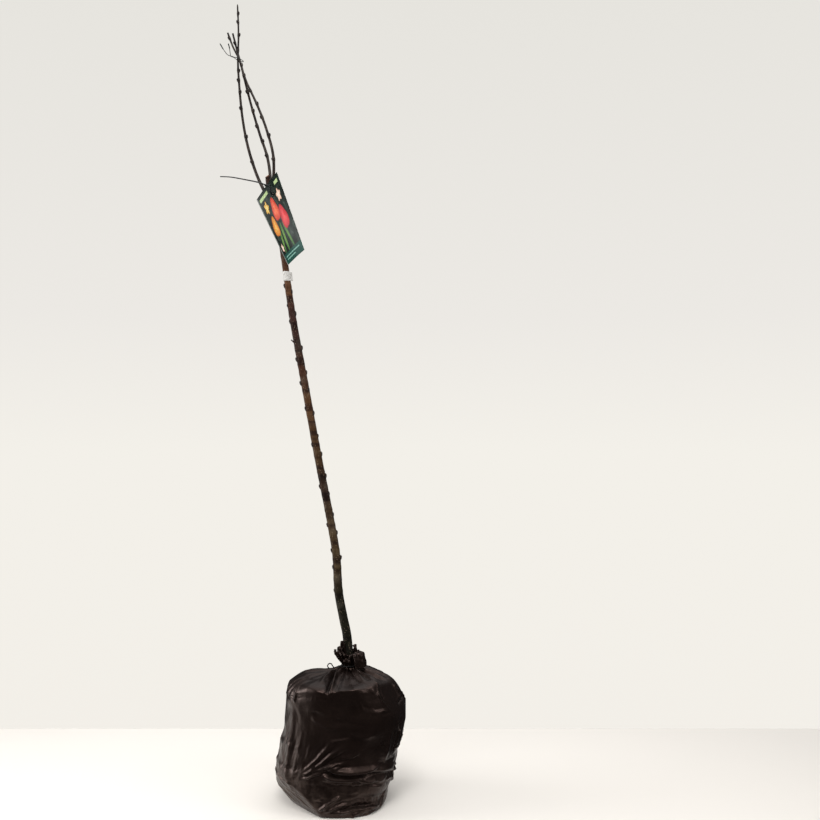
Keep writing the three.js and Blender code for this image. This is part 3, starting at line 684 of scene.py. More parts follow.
def polytheneFilm():
    # recycled polythene film, blown and crumpled: almost black with a brown cast, greasy gloss, fine crinkles
    material, tree, shader = newMaterial("recycledPolytheneFilm", {
        "IOR": 1.51, "Specular IOR Level": 0.4, "Specular Tint": linear("#f4cfc2")})
    spot = addNode(tree, "TexCoord").outputs["Object"]
    apart = addNode(tree, "SeparateXYZ", {}, {"Vector": spot}).outputs
    cloud = addNode(tree, "TexNoise", {"Scale": 9.0, "Detail": 4.0, "Roughness": 0.6}, {"Vector": spot})
    tone = addNode(tree, "ValToRGB", {"stops": [(0.3, "#0b0706"), (0.55, "#100a08"), (0.8, "#18110e")]},
                   {"Fac": cloud})
    # thin, patchy pale film low down: bench dust, with a painted sheen added on the left side, where the
    # light falls; most of it low on the left
    dustAndSheenNoise = addNode(tree, "TexNoise", {"Scale": 60.0, "Detail": 6.0, "Roughness": 0.75}, {"Vector": spot})
    patchy = addNode(tree, "ValToRGB", {"stops": [(0.4, 0.0), (0.8, 1.0)]}, {"Fac": dustAndSheenNoise})
    lower = addNode(tree, "MapRange", {"From Min": 0.15, "From Max": 0.02, "To Min": 0.03, "To Max": 0.45},
                    {"Value": apart["Z"]})
    # painted sheen: the pale patches grow stronger towards the lit left side
    paintedSheenLeft = addNode(tree, "MapRange", {"From Min": -0.03, "From Max": -0.12, "To Min": 0.3, "To Max": 1.0},
                       {"Value": apart["X"]})
    most = addNode(tree, "Math", {"operation": "MULTIPLY"}, {0: paintedSheenLeft, 1: lower})
    dustAndSheen = addNode(tree, "Math", {"operation": "MULTIPLY"}, {0: patchy, 1: most})
    # the pale tone mixed in is dust and painted sheen together
    mixed = addNode(tree, "Mix", {"data_type": "RGBA", 7: linear("#72645b")}, {0: dustAndSheen, 6: tone})
    gloss = addNode(tree, "MapRange", {"From Min": 0.3, "From Max": 0.75, "To Min": 0.26, "To Max": 0.42},
                    {"Value": cloud})
    # crinkles: straight-edged cells about 12 mm across, bent by a slow noise, over a fine pebble of 3 mm
    bend = addNode(tree, "TexNoise", {"Scale": 22.0, "Detail": 3.0}, {"Vector": spot})
    shifted = addNode(tree, "VectorMath", {"operation": "SCALE", "Scale": 0.03}, {0: bend.outputs["Color"]})
    moved = addNode(tree, "VectorMath", {"operation": "ADD"}, {0: spot, 1: shifted})
    crease = addNode(tree, "TexVoronoi", {"feature": "DISTANCE_TO_EDGE", "Scale": 85.0}, {"Vector": moved})
    pebble = addNode(tree, "TexNoise", {"Scale": 130.0, "Detail": 4.0, "Roughness": 0.55}, {"Vector": spot})
    fine = addNode(tree, "Bump", {"Strength": 0.3, "Distance": 0.0016}, {"Height": pebble})
    stronger = addNode(tree, "MapRange", {"From Min": 0.17, "From Max": 0.03, "To Min": 0.18, "To Max": 0.7},
                       {"Value": apart["Z"]})
    crinkled = addNode(tree, "Bump", {"Distance": 0.0014},
                       {"Height": crease.outputs["Distance"], "Normal": fine, "Strength": stronger})
    linkTo(shader, {"Base Color": mixed.outputs[2], "Roughness": gloss, "Normal": crinkled})
    return material


filmMaterial = polytheneFilm()
rootBallFilm = finished(buildFilm(filmMaterial), "root_ball")
print("root ball film", len(rootBallFilm.data.polygons))


# trunk and boughs

trunk = {
    # height, sideways, depth, thickness
    "stations": [
        (312.35, 20, 0, 23), (391, 14.4, 0, 21.5), (440, 4.2, 2, 21), (498, -6.3, 4, 20.8),
        (585, -11.9, 6, 19.2), (672, -26.4, 7, 18.6), (817, -54.7, 6, 18.3), (991, -86.2, 4, 17.6),
        (1165, -117.4, 2, 16.6), (1281, -133.8, 0, 15.5), (1327, -140.5, 0, 15.2),
        (1400, -155, 0, 14.8), (1452, -168.5, 0, 16), (1474, -173, 0, 15), (1486, -176, 0, 10.6),
        (1504, -178, 0, 10),
    ],
    "budsLeft": [500, 556, 597, 659, 752, 853, 940, 1003, 1059, 1151, 1190, 1236, 1420],
    "budsRight": [528, 577, 638, 682, 732, 776, 829, 873, 928, 986, 1027, 1085, 1168, 1221, 1310, 1385],
    "rings": [696, 788, 1049],
    "snag": 1102,
    "relief": 0.7,   # of the bark
    "head": 1462,   # where the boughs leave and the trunk is thicker
    "steps": 560,
    "sides": 36,
    "foot": 312.35,
    "cutOver": 6,   # height over which the top is drawn to its slanted cut
    "woodAbove": 1400,   # cut ends above this show wood
}

boughs = {
    "bough_left": {
        "base": 8.4, "tip": 3.6,
        "path": [(1442, -168, 2), (1457, -179.5, 6), (1504, -203, 9), (1572, -225, 9), (1639, -238, 7),
                 (1722, -246, 4), (1780, -248.7, 1), (1843, -247, 0), (1916, -249, -2)],
        "buds": [1539, 1600, 1668, 1707, 1735, 1758, 1806, 1842, 1873, 1893],
        "whole": True,   # never cut at its tip
    },
    "bough_middle": {
        "base": 7.8, "tip": 4.4,
        "path": [(1466, -172, 2), (1499, -172, 10), (1552, -180, 17), (1610, -199, 17), (1668, -216, 13),
                 (1731, -232, 8.5), (1782, -244.5, 7), (1809, -252, 7.5), (1850, -262.5, 9)],
        "buds": [1556, 1591, 1628, 1664, 1708, 1747, 1826],
    },
    "bough_right": {
        "base": 7.8, "tip": 4.2,
        "path": [(1460, -168, -1), (1504, -161.5, -7), (1552, -162, -14), (1610, -177, -16),
                 (1668, -199, -13), (1731, -228, -8), (1782, -244.5, -5.6), (1814, -260, -6.5),
                 (1845, -271.5, -8)],
        "buds": [1540, 1596, 1640, 1673, 1706, 1768, 1832],
    },
}


# what the boughs share
whips = {
    "steps": 240, "sides": 22, "relief": 0.45,
    "freeAbove": 1506,   # by this height they have left the trunk
    "collar": 26, "collarMore": 1.1,   # points over which they are thicker at first, and by how much
}


def newTree(name, output, inputs):  # a geometry tree with one result and its named inputs
    tree = bpy.data.node_groups.new(name, "GeometryNodeTree")
    tree.interface.new_socket(output, in_out="OUTPUT", socket_type="NodeSocketGeometry")
    for key, (kind, default) in inputs.items():
        made = tree.interface.new_socket(key, in_out="INPUT", socket_type="NodeSocket" + kind)
        if default is not None:
            made.default_value = default
    return tree, addNode(tree, "NodeGroupInput").outputs


def limbTree():  # a branch grown along its path, with rough bark
    tree, given = newTree("growLimb", "Limb", {
        "Path": ("Geometry", None), "Sides": ("Int", 24), "Relief": ("Float", 0.0004),
        "Grain": ("Float", 160.0), "Seed": ("Float", 1.0), "Bark": ("Material", None)})
    section = addNode(tree, "GeometryNodeCurvePrimitiveCircle", {"Radius": 1.0},
                      {"Resolution": given["Sides"]})
    thickness = addNode(tree, "GeometryNodeInputRadius")
    skin = addNode(tree, "GeometryNodeCurveToMesh", {"Fill Caps": True},
                   {"Curve": given["Path"], "Profile Curve": section, "Scale": thickness})
    where = addNode(tree, "GeometryNodeInputPosition")
    squash = addNode(tree, "VectorMath", {"operation": "MULTIPLY", 1: (1.0, 1.0, 0.28)}, {0: where})
    rough = addNode(tree, "TexNoise", {"noise_dimensions": "4D", "Detail": 4.0},
                    {"Vector": squash, "W": given["Seed"], "Scale": given["Grain"]})
    centred = addNode(tree, "Math", {"operation": "SUBTRACT", 1: 0.5}, {0: rough})
    amount = addNode(tree, "Math", {"operation": "MULTIPLY"}, {0: centred, 1: given["Relief"]})
    normal = addNode(tree, "GeometryNodeInputNormal")
    push = addNode(tree, "VectorMath", {"operation": "SCALE"}, {0: normal, "Scale": amount})
    moved = addNode(tree, "GeometryNodeSetPosition", {}, {"Geometry": skin, "Offset": push})
    clothed = addNode(tree, "GeometryNodeSetMaterial", {}, {"Geometry": moved, "Material": given["Bark"]})
    smooth = addNode(tree, "GeometryNodeSetShadeSmooth", {}, {"Geometry": clothed})
    addNode(tree, "NodeGroupOutput", {}, {"Limb": smooth})
    return tree


def placingTree():  # copies of one small shape on marked points, joined to what carries them
    tree, given = newTree("placeOnPoints", "Dressed", {
        "Carrier": ("Geometry", None), "Places": ("Object", None), "Shape": ("Object", None),
        "Size": ("Float", 1.0), "Finish": ("Material", None)})
    places = addNode(tree, "GeometryNodeObjectInfo", {}, {"Object": given["Places"]}).outputs["Geometry"]
    shape = addNode(tree, "GeometryNodeObjectInfo", {}, {"Object": given["Shape"]}).outputs["Geometry"]
    turn = addNode(tree, "GeometryNodeInputNamedAttribute", {"data_type": "FLOAT_VECTOR", "Name": "turn"})
    grow = addNode(tree, "GeometryNodeInputNamedAttribute", {"data_type": "FLOAT_VECTOR", "Name": "grow"})
    sized = addNode(tree, "VectorMath", {"operation": "SCALE"}, {0: grow, "Scale": given["Size"]})
    spread = addNode(tree, "GeometryNodeInstanceOnPoints", {},
                     {"Points": places, "Instance": shape, "Rotation": turn, "Scale": sized})
    real = addNode(tree, "GeometryNodeRealizeInstances", {}, {"Geometry": spread})
    clothed = addNode(tree, "GeometryNodeSetMaterial", {}, {"Geometry": real, "Material": given["Finish"]})
    joined = addNode(tree, "GeometryNodeJoinGeometry", {}, {0: clothed})
    linkTo(joined, {0: given["Carrier"]})
    addNode(tree, "NodeGroupOutput", {}, {"Dressed": joined})
    return tree


def runTree(carrier, tree, values, name):  # modifier on, evaluated to a plain mesh, modifier gone
    modifier = carrier.modifiers.new(tree.name, "NODES")
    modifier.node_group = tree
    for item in tree.interface.items_tree:
        if item.in_out == "INPUT" and item.name in values:
            modifier[item.identifier] = values[item.name]
    bpy.context.view_layer.update()
    mesh = bpy.data.meshes.new_from_object(carrier.evaluated_get(bpy.context.evaluated_depsgraph_get()))
    carrier.modifiers.remove(modifier)
    mesh.name = name
    return placed(name, mesh)


def drop(*objects):
    for thing in objects:
        bpy.data.objects.remove(thing, do_unlink=True)


growLimb = limbTree()
placeOnPoints = placingTree()


def pathCurve(name, places, radii):
    data = bpy.data.curves.new(name, "CURVE")
    data.dimensions = "3D"
    spline = data.splines.new("POLY")
    spline.points.add(len(places) - 1)
    for point, place, radius in zip(spline.points, places, radii):
        point.co = (*place, 1)
        point.radius = radius
    return placed(name, data)


# small shapes that stand on a limb; up is +Z and out is +X
growths = {
    # sides, then rings from the foot: out, up, half depth, half width, dip of the outer side
    "bud": (9, [  # on its leaf-scar cushion, pressed to the stem
        (-0.6, -4.2, 0.5, 1.1, 0), (0.2, -2.8, 1.2, 2.3, 0), (0.7, -1.2, 1.7, 2.9, 0),
        (0.9, 0.2, 1.6, 2.5, 0), (1.1, 1.0, 1.8, 2.25, 0), (1.4, 2.6, 1.6, 1.95, 0),
        (1.5, 4.0, 1.15, 1.4, 0), (1.4, 5.1, 0.6, 0.75, 0), (1.25, 5.8, 0.12, 0.15, 0)]),
    "snag": (10, [  # dead stub of a twig, leaning out and up
        (-1.6, -0.6, 2.16, 2.7, 1.62), (0.4, 1.6, 1.84, 2.3, 1.38), (2.6, 4.4, 1.52, 1.9, 1.14),
        (4.8, 7.4, 1.36, 1.7, 1.02), (6.3, 9.6, 1.24, 1.55, 0.93), (6.9, 10.3, 0.72, 0.9, 0.54)]),
}


def growthShape(name):
    sides, rings = growths[name]
    points = []
    for out, up, deep, wide, dip in rings:
        for a in turnsOf(sides):
            points.append((out + math.cos(a) * deep, math.sin(a) * wide, up - math.cos(a) * dip))
    return turnedOut(meshPiece(name + "Shape", inMetres(points), tubeFaces(len(rings), sides)))


def budPlaces(name, line, radii, heights, turns, size):
    points, turnValues, growValues = [], [], []
    for k, (height, turn) in enumerate(zip(heights, turns)):
        i = int(np.argmin(np.abs(line[:, 2] - height * mm)))
        i = min(max(i, 1), len(line) - 2)
        up = Vector(line[i + 1] - line[i - 1]).normalized()
        out = Vector((math.cos(turn), math.sin(turn), 0))
        out = (out - up * out.dot(up)).normalized()
        points.append(Vector(line[i]) + out * (radii[i] - 0.9 * mm * size))
        turnValues += list(Matrix((out, up.cross(out), up)).transposed().to_euler())
        s = size * (0.85 + 0.3 * ((k * 37) % 10) / 10)  # no two buds in a row alike
        growValues += [s, s, s * (0.9 + 0.25 * ((k * 53) % 10) / 10)]
    return markedPoints(name, points, turnValues, growValues)


barkTones = {
    # share of the height from 0.3 to 1.92 m, and tone
    "trunk": [(0.0, "#17160b"), (0.11, "#1d1c0f"), (0.142, "#372d1a"), (0.168, "#493b25"), (0.235, "#4a3b28"),
              (0.265, "#35241c"), (0.302, "#362519"), (0.32, "#44311d"), (0.4, "#5a3f26"), (0.431, "#483021"),
              (0.463, "#4b2e1f"), (0.488, "#301d17"), (0.537, "#432824"), (0.558, "#6a4a32"),
              (0.617, "#5a3d2c"), (0.68, "#402a21"), (0.75, "#372520")],
    "whip": [(0.68, "#2d1f1a"), (0.78, "#352a26"), (0.88, "#2a201d"), (1.0, "#241b19")],
}


def bark(name, tones, roughness, gloss, dotScale):
    # bark of a young fruit tree: thin and smooth, with lenticels and a waxy grey skin over the colour
    material, tree, shader = newMaterial(name, {
        "IOR": 1.45, "Roughness": roughness, "Specular IOR Level": gloss})
    spot = addNode(tree, "TexCoord").outputs["Object"]
    height = addNode(tree, "SeparateXYZ", {}, {"Vector": spot}).outputs["Z"]
    level = addNode(tree, "MapRange", {"From Min": 0.3, "From Max": 1.92}, {"Value": height})
    drift = addNode(tree, "TexNoise", {"Scale": 14.0, "Detail": 3.0}, {"Vector": spot})
    sway = addNode(tree, "Math", {"operation": "MULTIPLY_ADD", 1: 0.12, 2: -0.06}, {0: drift})
    atLevel = addNode(tree, "Math", {"operation": "ADD"}, {0: level, 1: sway})
    main = addNode(tree, "ValToRGB", {"stops": tones}, {"Fac": atLevel})
    stretched = addNode(tree, "Mapping", {"Scale": (1, 1, 0.22)}, {"Vector": spot})
    streak = addNode(tree, "TexNoise", {"Scale": 260.0, "Detail": 5.0, "Roughness": 0.6},
                     {"Vector": stretched})
    shade = addNode(tree, "ValToRGB", {"stops": [(0.3, "#8f8a84"), (0.5, "#c9c4bd"), (0.75, "#ffffff")]},
                    {"Fac": streak})
    streaked = addNode(tree, "Mix", {"data_type": "RGBA", "blend_type": "MULTIPLY", 0: 0.75},
                       {6: main, 7: shade})
    # darker growth bands every few centimetres up the stem
    band = addNode(tree, "TexNoise", {"noise_dimensions": "1D", "Scale": 46.0, "Detail": 2.0}, {"W": height})
    darker = addNode(tree, "ValToRGB", {"stops": [(0.36, "#a8928a"), (0.5, "#e6ddd4"), (0.62, "#ffffff")]},
                     {"Fac": band})
    banded = addNode(tree, "Mix", {"data_type": "RGBA", "blend_type": "MULTIPLY", 0: 1.0},
                     {6: streaked.outputs[2], 7: darker})
    patch = addNode(tree, "TexNoise", {"Scale": 34.0, "Detail": 4.0}, {"Vector": spot})
    skin = addNode(tree, "ValToRGB", {"stops": [(0.5, 0.0), (0.75, 0.16)]}, {"Fac": patch})
    waxed = addNode(tree, "Mix", {"data_type": "RGBA", 7: linear("#6f675c")},
                    {0: skin, 6: banded.outputs[2]})
    # lenticels about 1 mm long, 4 mm apart
    drawn = addNode(tree, "Mapping", {"Scale": (0.8, 0.8, 1.5)}, {"Vector": spot})
    cells = addNode(tree, "TexVoronoi", {"Scale": dotScale, "Randomness": 1.0}, {"Vector": drawn})
    dots = addNode(tree, "ValToRGB", {"stops": [(0.1, 1.0), (0.17, 0.0)]}, {"Fac": cells.outputs["Distance"]})
    dotted = addNode(tree, "Mix", {"data_type": "RGBA", 7: linear("#8d7c68")}, {0: dots, 6: waxed.outputs[2]})
    rough = addNode(tree, "Bump", {"Strength": 0.5, "Distance": 0.0006}, {"Height": streak})
    raised = addNode(tree, "Bump", {"Strength": 0.4, "Distance": 0.0004}, {"Height": dots, "Normal": rough})
    linkTo(shader, {"Base Color": dotted.outputs[2], "Normal": raised})
    return material


def flecked(name, roughness, scale, detail, stops):  # tones strewn by a fine noise
    material, tree, shader = newMaterial(name, {"Roughness": roughness})
    spot = addNode(tree, "TexCoord").outputs["Object"]
    grain = addNode(tree, "TexNoise", {"Scale": scale, "Detail": detail}, {"Vector": spot})
    tone = addNode(tree, "ValToRGB", {"stops": stops}, {"Fac": grain})
    linkTo(shader, {"Base Color": tone})
    return material


trunkBark = bark("smoothTrunkBark", barkTones["trunk"], 0.66, 0.16, 190.0)
whipBark = bark("youngWhipBark", barkTones["whip"], 0.5, 0.3, 260.0)
# pruned face: pale sapwood, pinkish at the rim
sapwood = flecked("prunedSapwood", 0.62, 420.0, 3.0, [(0.3, "#7d5440"), (0.7, "#a97c5e")])
# bud scales: dark reddish brown with a grey down on the tips
scaleSkin = flecked("downyBudScales", 0.72, 520.0, 4.0,
                    [(0.35, "#1a110e"), (0.62, "#2a1d18"), (0.85, "#473a33")])
bud = growthShape("bud")


def swelling(heights, z, size, spread):
    return sum(size * np.exp(-((z - h) / spread) ** 2) for h in heights)


def barePruned(piece, sides):  # the cut ends above the head show wood
    piece.data.materials.append(sapwood)
    for face in piece.data.polygons:
        if len(face.vertices) == sides and face.center.z > trunk["woodAbove"] * mm:
            face.material_index = len(piece.data.materials) - 1
            face.use_smooth = False


def buildTrunk():
    rows = np.array(trunk["stations"], float)
    line = throughPoints([(x * mm, y * mm, z * mm) for z, x, y, _ in rows], trunk["steps"])
    z = line[:, 2] / mm
    budsAt = trunk["budsLeft"] + trunk["budsRight"]
    radii = np.interp(z, rows[:, 0], rows[:, 3]) / 2
    radii = radii + swelling(budsAt, z, 0.45, 5.0) + swelling(trunk["rings"], z, 0.6, 3.0)
    radii = radii + swelling([trunk["head"]], z, 0.5, 16)
    path = pathCurve("trunkPath", line, radii * mm)
    bare = runTree(path, growLimb, {"Sides": trunk["sides"], "Relief": trunk["relief"] * mm, "Grain": 150.0,
                                    "Seed": 3.0, "Bark": trunkBark}, "trunkBare")
    # the last ring is tilted to a slanted pruning cut, and the foot stands flat
    top = max(v.co.z for v in bare.data.vertices)
    over, foot = trunk["cutOver"] * mm, trunk["foot"] * mm
    centre = line[-1]
    for v in bare.data.vertices:
        nearTop = smoothStep((v.co.z - (top - over)) / over)
        v.co.z += float(nearTop) * ((v.co.x - centre[0]) * 0.5 + (v.co.y - centre[1]) * 0.5 - 0.0008)
        if v.co.z < foot + 0.45 * mm:
            v.co.z = foot
    barePruned(bare, trunk["sides"])
    turns = [math.radians(facing + ((k * 47) % 60) - 30)
             for facing, side in ((190, "budsLeft"), (-10, "budsRight")) for k in range(len(trunk[side]))]
    places = budPlaces("trunkBudPlaces", line, radii * mm, budsAt, turns, 1.3)
    budded = runTree(bare, placeOnPoints, {"Places": places, "Shape": bud, "Finish": scaleSkin}, "trunkBuds")
    snag = growthShape("snag")
    snagPlaces = budPlaces("snagPlaces", line, radii * mm, [trunk["snag"]], [math.radians(194)], 1.0)
    snagged = {"Places": snagPlaces, "Shape": snag, "Finish": trunkBark}
    whole = runTree(budded, placeOnPoints, snagged, "trunkBark")
    drop(path, bare, places, budded, snag, snagPlaces)
    return whole


def buildBough(name, sizes, index):
    line = throughPoints([(x * mm, y * mm, z * mm) for z, x, y in sizes["path"]], whips["steps"])
    z = line[:, 2] / mm
    share = np.linspace(0, 1, len(line))
    radii = (sizes["base"] + (sizes["tip"] - sizes["base"]) * share ** 0.85) / 2
    radii = radii + swelling(sizes["buds"], z, 0.75, 4.5)
    if sizes.get("whole"):  # a tip that was never cut runs out thin
        radii = radii * np.where(share > 0.985, 1 - 0.6 * ((share - 0.985) / 0.015) ** 2, 1)
    # the first stretch lies inside the trunk and is cut off where the bark begins
    rows = np.array(trunk["stations"], float)
    axis = np.stack([np.interp(z, rows[:, 0], rows[:, i]) for i in (1, 2)], 1) * mm
    away = np.hypot(line[:, 0] - axis[:, 0], line[:, 1] - axis[:, 1])
    free = away > np.interp(z, rows[:, 0], rows[:, 3]) / 2 * mm * 0.55
    start = int(np.argmax(free | (z > whips["freeAbove"])))
    collar = whips["collar"]
    radii[start:start + collar] += whips["collarMore"] * (1 - np.arange(collar) / collar) ** 2
    path = pathCurve(name + "Path", line[start:], radii[start:] * mm)
    bare = runTree(path, growLimb, {"Sides": whips["sides"], "Relief": whips["relief"] * mm, "Grain": 210.0,
                                    "Seed": 5.0 + index, "Bark": whipBark}, name + "Bare")
    barePruned(bare, whips["sides"])
    turns = [math.radians((180 if k % 2 == 0 else 0) + ((k * 67 + index * 31) % 50) - 25)
             for k in range(len(sizes["buds"]))]
    places = budPlaces(name + "BudPlaces", line, radii * mm, sizes["buds"], turns, 0.95)
    whole = runTree(bare, placeOnPoints, {"Places": places, "Shape": bud, "Finish": scaleSkin}, name + "Bark")
    drop(path, bare, places)
    return whole


finished(buildTrunk(), "trunk")
for index, (name, sizes) in enumerate(boughs.items()):
    finished(buildBough(name, sizes, index), name)
print("trunk and boughs")


# gathered neck of the film

neck = {
    "columns": 360, "waist": 321.0, "wall": 0.4,
    # height and radius up through the tie, then of a sleeve close round the trunk
    "sleeve": [(312.6, 20.5), (314, 18.6), (316.5, 16.6), (319, 15.5), (321, 15.2), (323, 15.4), (326, 15.0),
               (330, 14.4), (335, 13.9), (340, 13.5), (345, 13.4), (348, 13.6)],
    "sleeveClosest": 12.2,
    # tongues of loose film above the tie: compass angle, half spread at the tie and at the tip in degrees,
    # then reach and height along it, all in mm
    "tongues": [
        (203, 40, 40, [(14.8, 318), (20, 329), (28.5, 342), (33.5, 352), (34.5, 357.5), (31, 356)]),
        (222, 26, 25, [(14.2, 318), (15.5, 334), (18, 356), (19.5, 374), (18, 381), (14.5, 377)]),
        (240, 30, 30, [(13.6, 318), (16.5, 330), (22, 344), (24, 352), (20.5, 355)]),
        (264, 40, 38, [(14.8, 318), (19.5, 327), (23.5, 334), (22, 340), (17.0, 339)]),
        (308, 36, 36, [(14.6, 318), (19, 327), (25, 337), (28, 346), (23.5, 350)]),
        (338, 38, 37, [(14.6, 318), (18.5, 330), (25, 346), (31, 354.5), (37, 351.5), (40, 341), (41.2, 329),
                       (41.4, 319)]),
        (352, 30, 30, [(13.4, 318), (16, 332), (23, 346), (27, 352), (24, 355)]),
        (28, 26, 24, [(14.2, 318), (16.5, 334), (20, 352), (21, 365), (17.5, 367)]),
        (60, 34, 32, [(14.6, 318), (18, 332), (24, 346), (27, 352), (24, 354)]),
        (95, 38, 36, [(14.8, 318), (20, 330), (28, 346), (31.5, 355), (29, 357)]),
        (142, 40, 38, [(14.6, 318), (19, 329), (26, 340), (29.5, 348), (26, 351)]),
        (212, 32, 24, [(13.8, 318), (17, 330), (23, 344), (26, 356), (23, 366), (18, 368)]),
    ],
    "tongueRows": 40, "tongueColumns": 44, "tongueClosest": 12.4,
}


def trunkCentre(z):
    rows = np.array(trunk["stations"], float)
    return np.interp(z, rows[:, 0], rows[:, 1]), np.interp(z, rows[:, 0], rows[:, 2])


def roundTrunk(angle, out, z):  # a place in metres, so far out from the middle of the trunk
    cx, cy = trunkCentre(z)
    return (cx + math.cos(angle) * out) * mm, (cy + math.sin(angle) * out) * mm, z * mm


def neckSleeve():
    rad = np.radians(np.linspace(0, 360, neck["columns"], endpoint=False))
    pleats = np.arcsin(np.sin(rad * 13)) + 0.7 * np.arcsin(np.sin(rad * 21 + 1.2))
    pleats = (pleats + 0.3 * np.sin(rad * 37)) * 0.6
    points = []
    for z, r in neck["sleeve"]:
        share = min(1.0, 0.55 + abs(z - neck["waist"]) / 12)  # the tie presses the pleats flatter
        loose = float(smoothStep((z - 322) / 10))
        for a, pleat in zip(rad, pleats):
            ripple = noise.noise((math.cos(a) * 3, math.sin(a) * 3, z / 9)) * 1.2 * loose
            points.append(roundTrunk(a, max(r + pleat * share + ripple, neck["sleeveClosest"]), z))
    return points, gridFaces(len(neck["sleeve"]), neck["columns"])


def neckTongue(k, angle, rootSpread, tipSpread, path):
    rows, columns = neck["tongueRows"], neck["tongueColumns"]
    line = throughPoints([(r, 0, z) for r, z in path], rows - 1)
    points = []
    for j in range(rows):
        v = j / (rows - 1)
        r, z = line[j][0], line[j][2]
        spread = rootSpread + (tipSpread - rootSpread) * smoothStep(v * 1.2)
        loose = float(smoothStep((v - 0.08) / 0.35))
        lean = 7 * math.sin(k * 2.3) * loose
        droops = 0.4 if r > 38 else 1  # the tongue that folds back down is less ragged
        for i in range(columns):
            u = -1 + 2 * i / (columns - 1)
            a = math.radians(angle + u * spread + lean)
            fold = math.asin(math.sin(u * (6.4 + k % 3) + k * 1.7 + 0.8 * v)) * (0.7 + 1.3 * loose)
            out = r + fold - 4.0 * loose * u * u
            height = z + (1.8 * math.sin(u * 4.1 + k) - 3.0 * u * u) * v * v * droops
            cx, cy = trunkCentre(height)
            x, y = cx + math.cos(a) * out, cy + math.sin(a) * out
            coarse = noise.noise((x / 5.5 + k, y / 5.5, height / 7)) * 1.5 * loose
            fine = noise.noise((x / 2.6, y / 2.6 + k, height / 3.5)) * 0.5 * loose
            out = max(out + coarse + fine, neck["tongueClosest"])
            points.append(((cx + math.cos(a) * out) * mm, (cy + math.sin(a) * out) * mm,
                           (height + coarse * 0.7) * mm))
    return points, gridFaces(rows, columns, wrap=False)


def buildNeck(material):
    parts = [neckSleeve()] + [neckTongue(k, *tongue) for k, tongue in enumerate(neck["tongues"])]
    verts, faces = gather(parts)
    piece = meshPiece("neckFilm", verts, faces, [material])
    addWall(piece, "filmWall", neck["wall"], -1)
    return piece


finished(buildNeck(filmMaterial), "bag_neck")
print("neck of the film")


# cord, tape, card, strap and wire tie

def plastic(name, tone, roughness, grainScale=900.0):
    # moulded or drawn plastic: even colour, faint mould grain
    material, tree, shader = newMaterial(name, {"IOR": 1.5, "Roughness": roughness})
    spot = addNode(tree, "TexCoord").outputs["Object"]
    grain = addNode(tree, "TexNoise", {"Scale": grainScale, "Detail": 3.0}, {"Vector": spot})
    shade = addNode(tree, "ValToRGB", {"stops": [(0.3, 0.7), (0.7, 1.0)]}, {"Fac": grain})
    toned = addNode(tree, "Mix", {"data_type": "RGBA", "blend_type": "MULTIPLY", 0: 1.0, 6: linear(tone)},
                    {7: shade})
    bumped = addNode(tree, "Bump", {"Strength": 0.4, "Distance": 0.0001}, {"Height": grain})
    linkTo(shader, {"Base Color": toned.outputs[2], "Normal": bumped})
    return material


def tubeAlong(points, radii, sides=12, closed=False, twist=0.0, offset=0.0, phase=0.0):
    # a round tube, or with an offset one strand laid round the path
    n = len(points)
    tangents = np.roll(points, -1, 0) - np.roll(points, 1, 0) if closed else np.gradient(points, axis=0)
    tangents /= np.linalg.norm(tangents, axis=1, keepdims=True)
    normal = np.array(Vector(tangents[0]).orthogonal().normalized())
    frames = []
    for t in tangents:
        normal = normal - t * normal.dot(t)
        normal /= np.linalg.norm(normal)
        frames.append((normal.copy(), np.cross(t, normal)))
    if closed:  # spread the leftover turn evenly
        a, b = frames[0]
        end = frames[-1][0]
        left = math.atan2(end.dot(b), end.dot(a))
        for i, (u, v) in enumerate(frames):
            c, s = math.cos(-left * i / n), math.sin(-left * i / n)
            frames[i] = (u * c + v * s, v * c - u * s)
    step = np.linalg.norm(np.diff(points, axis=0), axis=1)
    along = np.concatenate([[0], np.cumsum(step)])
    verts = []
    for i, (u, v) in enumerate(frames):
        turn = phase + twist * along[i]
        centre = points[i] + (u * math.cos(turn) + v * math.sin(turn)) * offset
        for a in turnsOf(sides):
            verts.append(tuple(centre + (u * math.cos(a) + v * math.sin(a)) * radii[i]))
    return verts, tubeFaces(n, sides, closed)


cord = {
    "radius": 1.35, "around": 18.1, "height": 321.0,
    "lay": 9.0,         # length of one turn of its two strands
    "strand": 0.7, "strandOut": 0.4,   # shares of the radius
    "startDepth": -6,
    # measured from the left of the ring: a small loop, and a short end
    "loop": [(1.3, 0, 0.2), (-6, -2, -0.8), (-13, -3, -3.4), (-17.5, -3.5, -4.2), (-21.5, -4, 0.6),
             (-25, -4.5, 5.6), (-30.5, -5, 5.0), (-33, -5.5, -0.6), (-29.5, -6, -5.6)],
    "end": [(5, -6, 0), (-2.5, -10, -0.8), (-10, -14, -3)],
}


def buildCord():
    r, z = cord["around"], cord["height"]
    left = (trunkCentre(z)[0] - r, cord["startDepth"], z)
    ring = [roundTrunk(a, r, z) for a in turnsOf(48)]
    loop = inMetres([[a + b for a, b in zip(left, place)] for place in cord["loop"]])
    end = inMetres([[a + b for a, b in zip(left, place)] for place in cord["end"]])
    turns = round(math.tau * r / cord["lay"])  # whole turns, so that the strands meet
    offset = cord["radius"] * cord["strandOut"] * mm
    parts = []
    for places, count, closed in ((ring, 200, True), (loop, 110, False), (end, 40, False)):
        line = throughPoints(places, count, closed)
        twist = turns / (r * mm) if closed else math.tau / (cord["lay"] * mm)
        thick = np.full(len(line), cord["radius"] * cord["strand"] * mm)
        for phase in (0, math.pi):
            parts.append(tubeAlong(line, thick, 8, closed, twist, offset, phase))
    verts, faces = gather(parts)
    return turnedOut(meshPiece("neckTwine", verts, faces, [plastic("tarredTwine", "#100d0c", 0.75, 1500.0)]))


finished(buildCord(), "neck_cord")

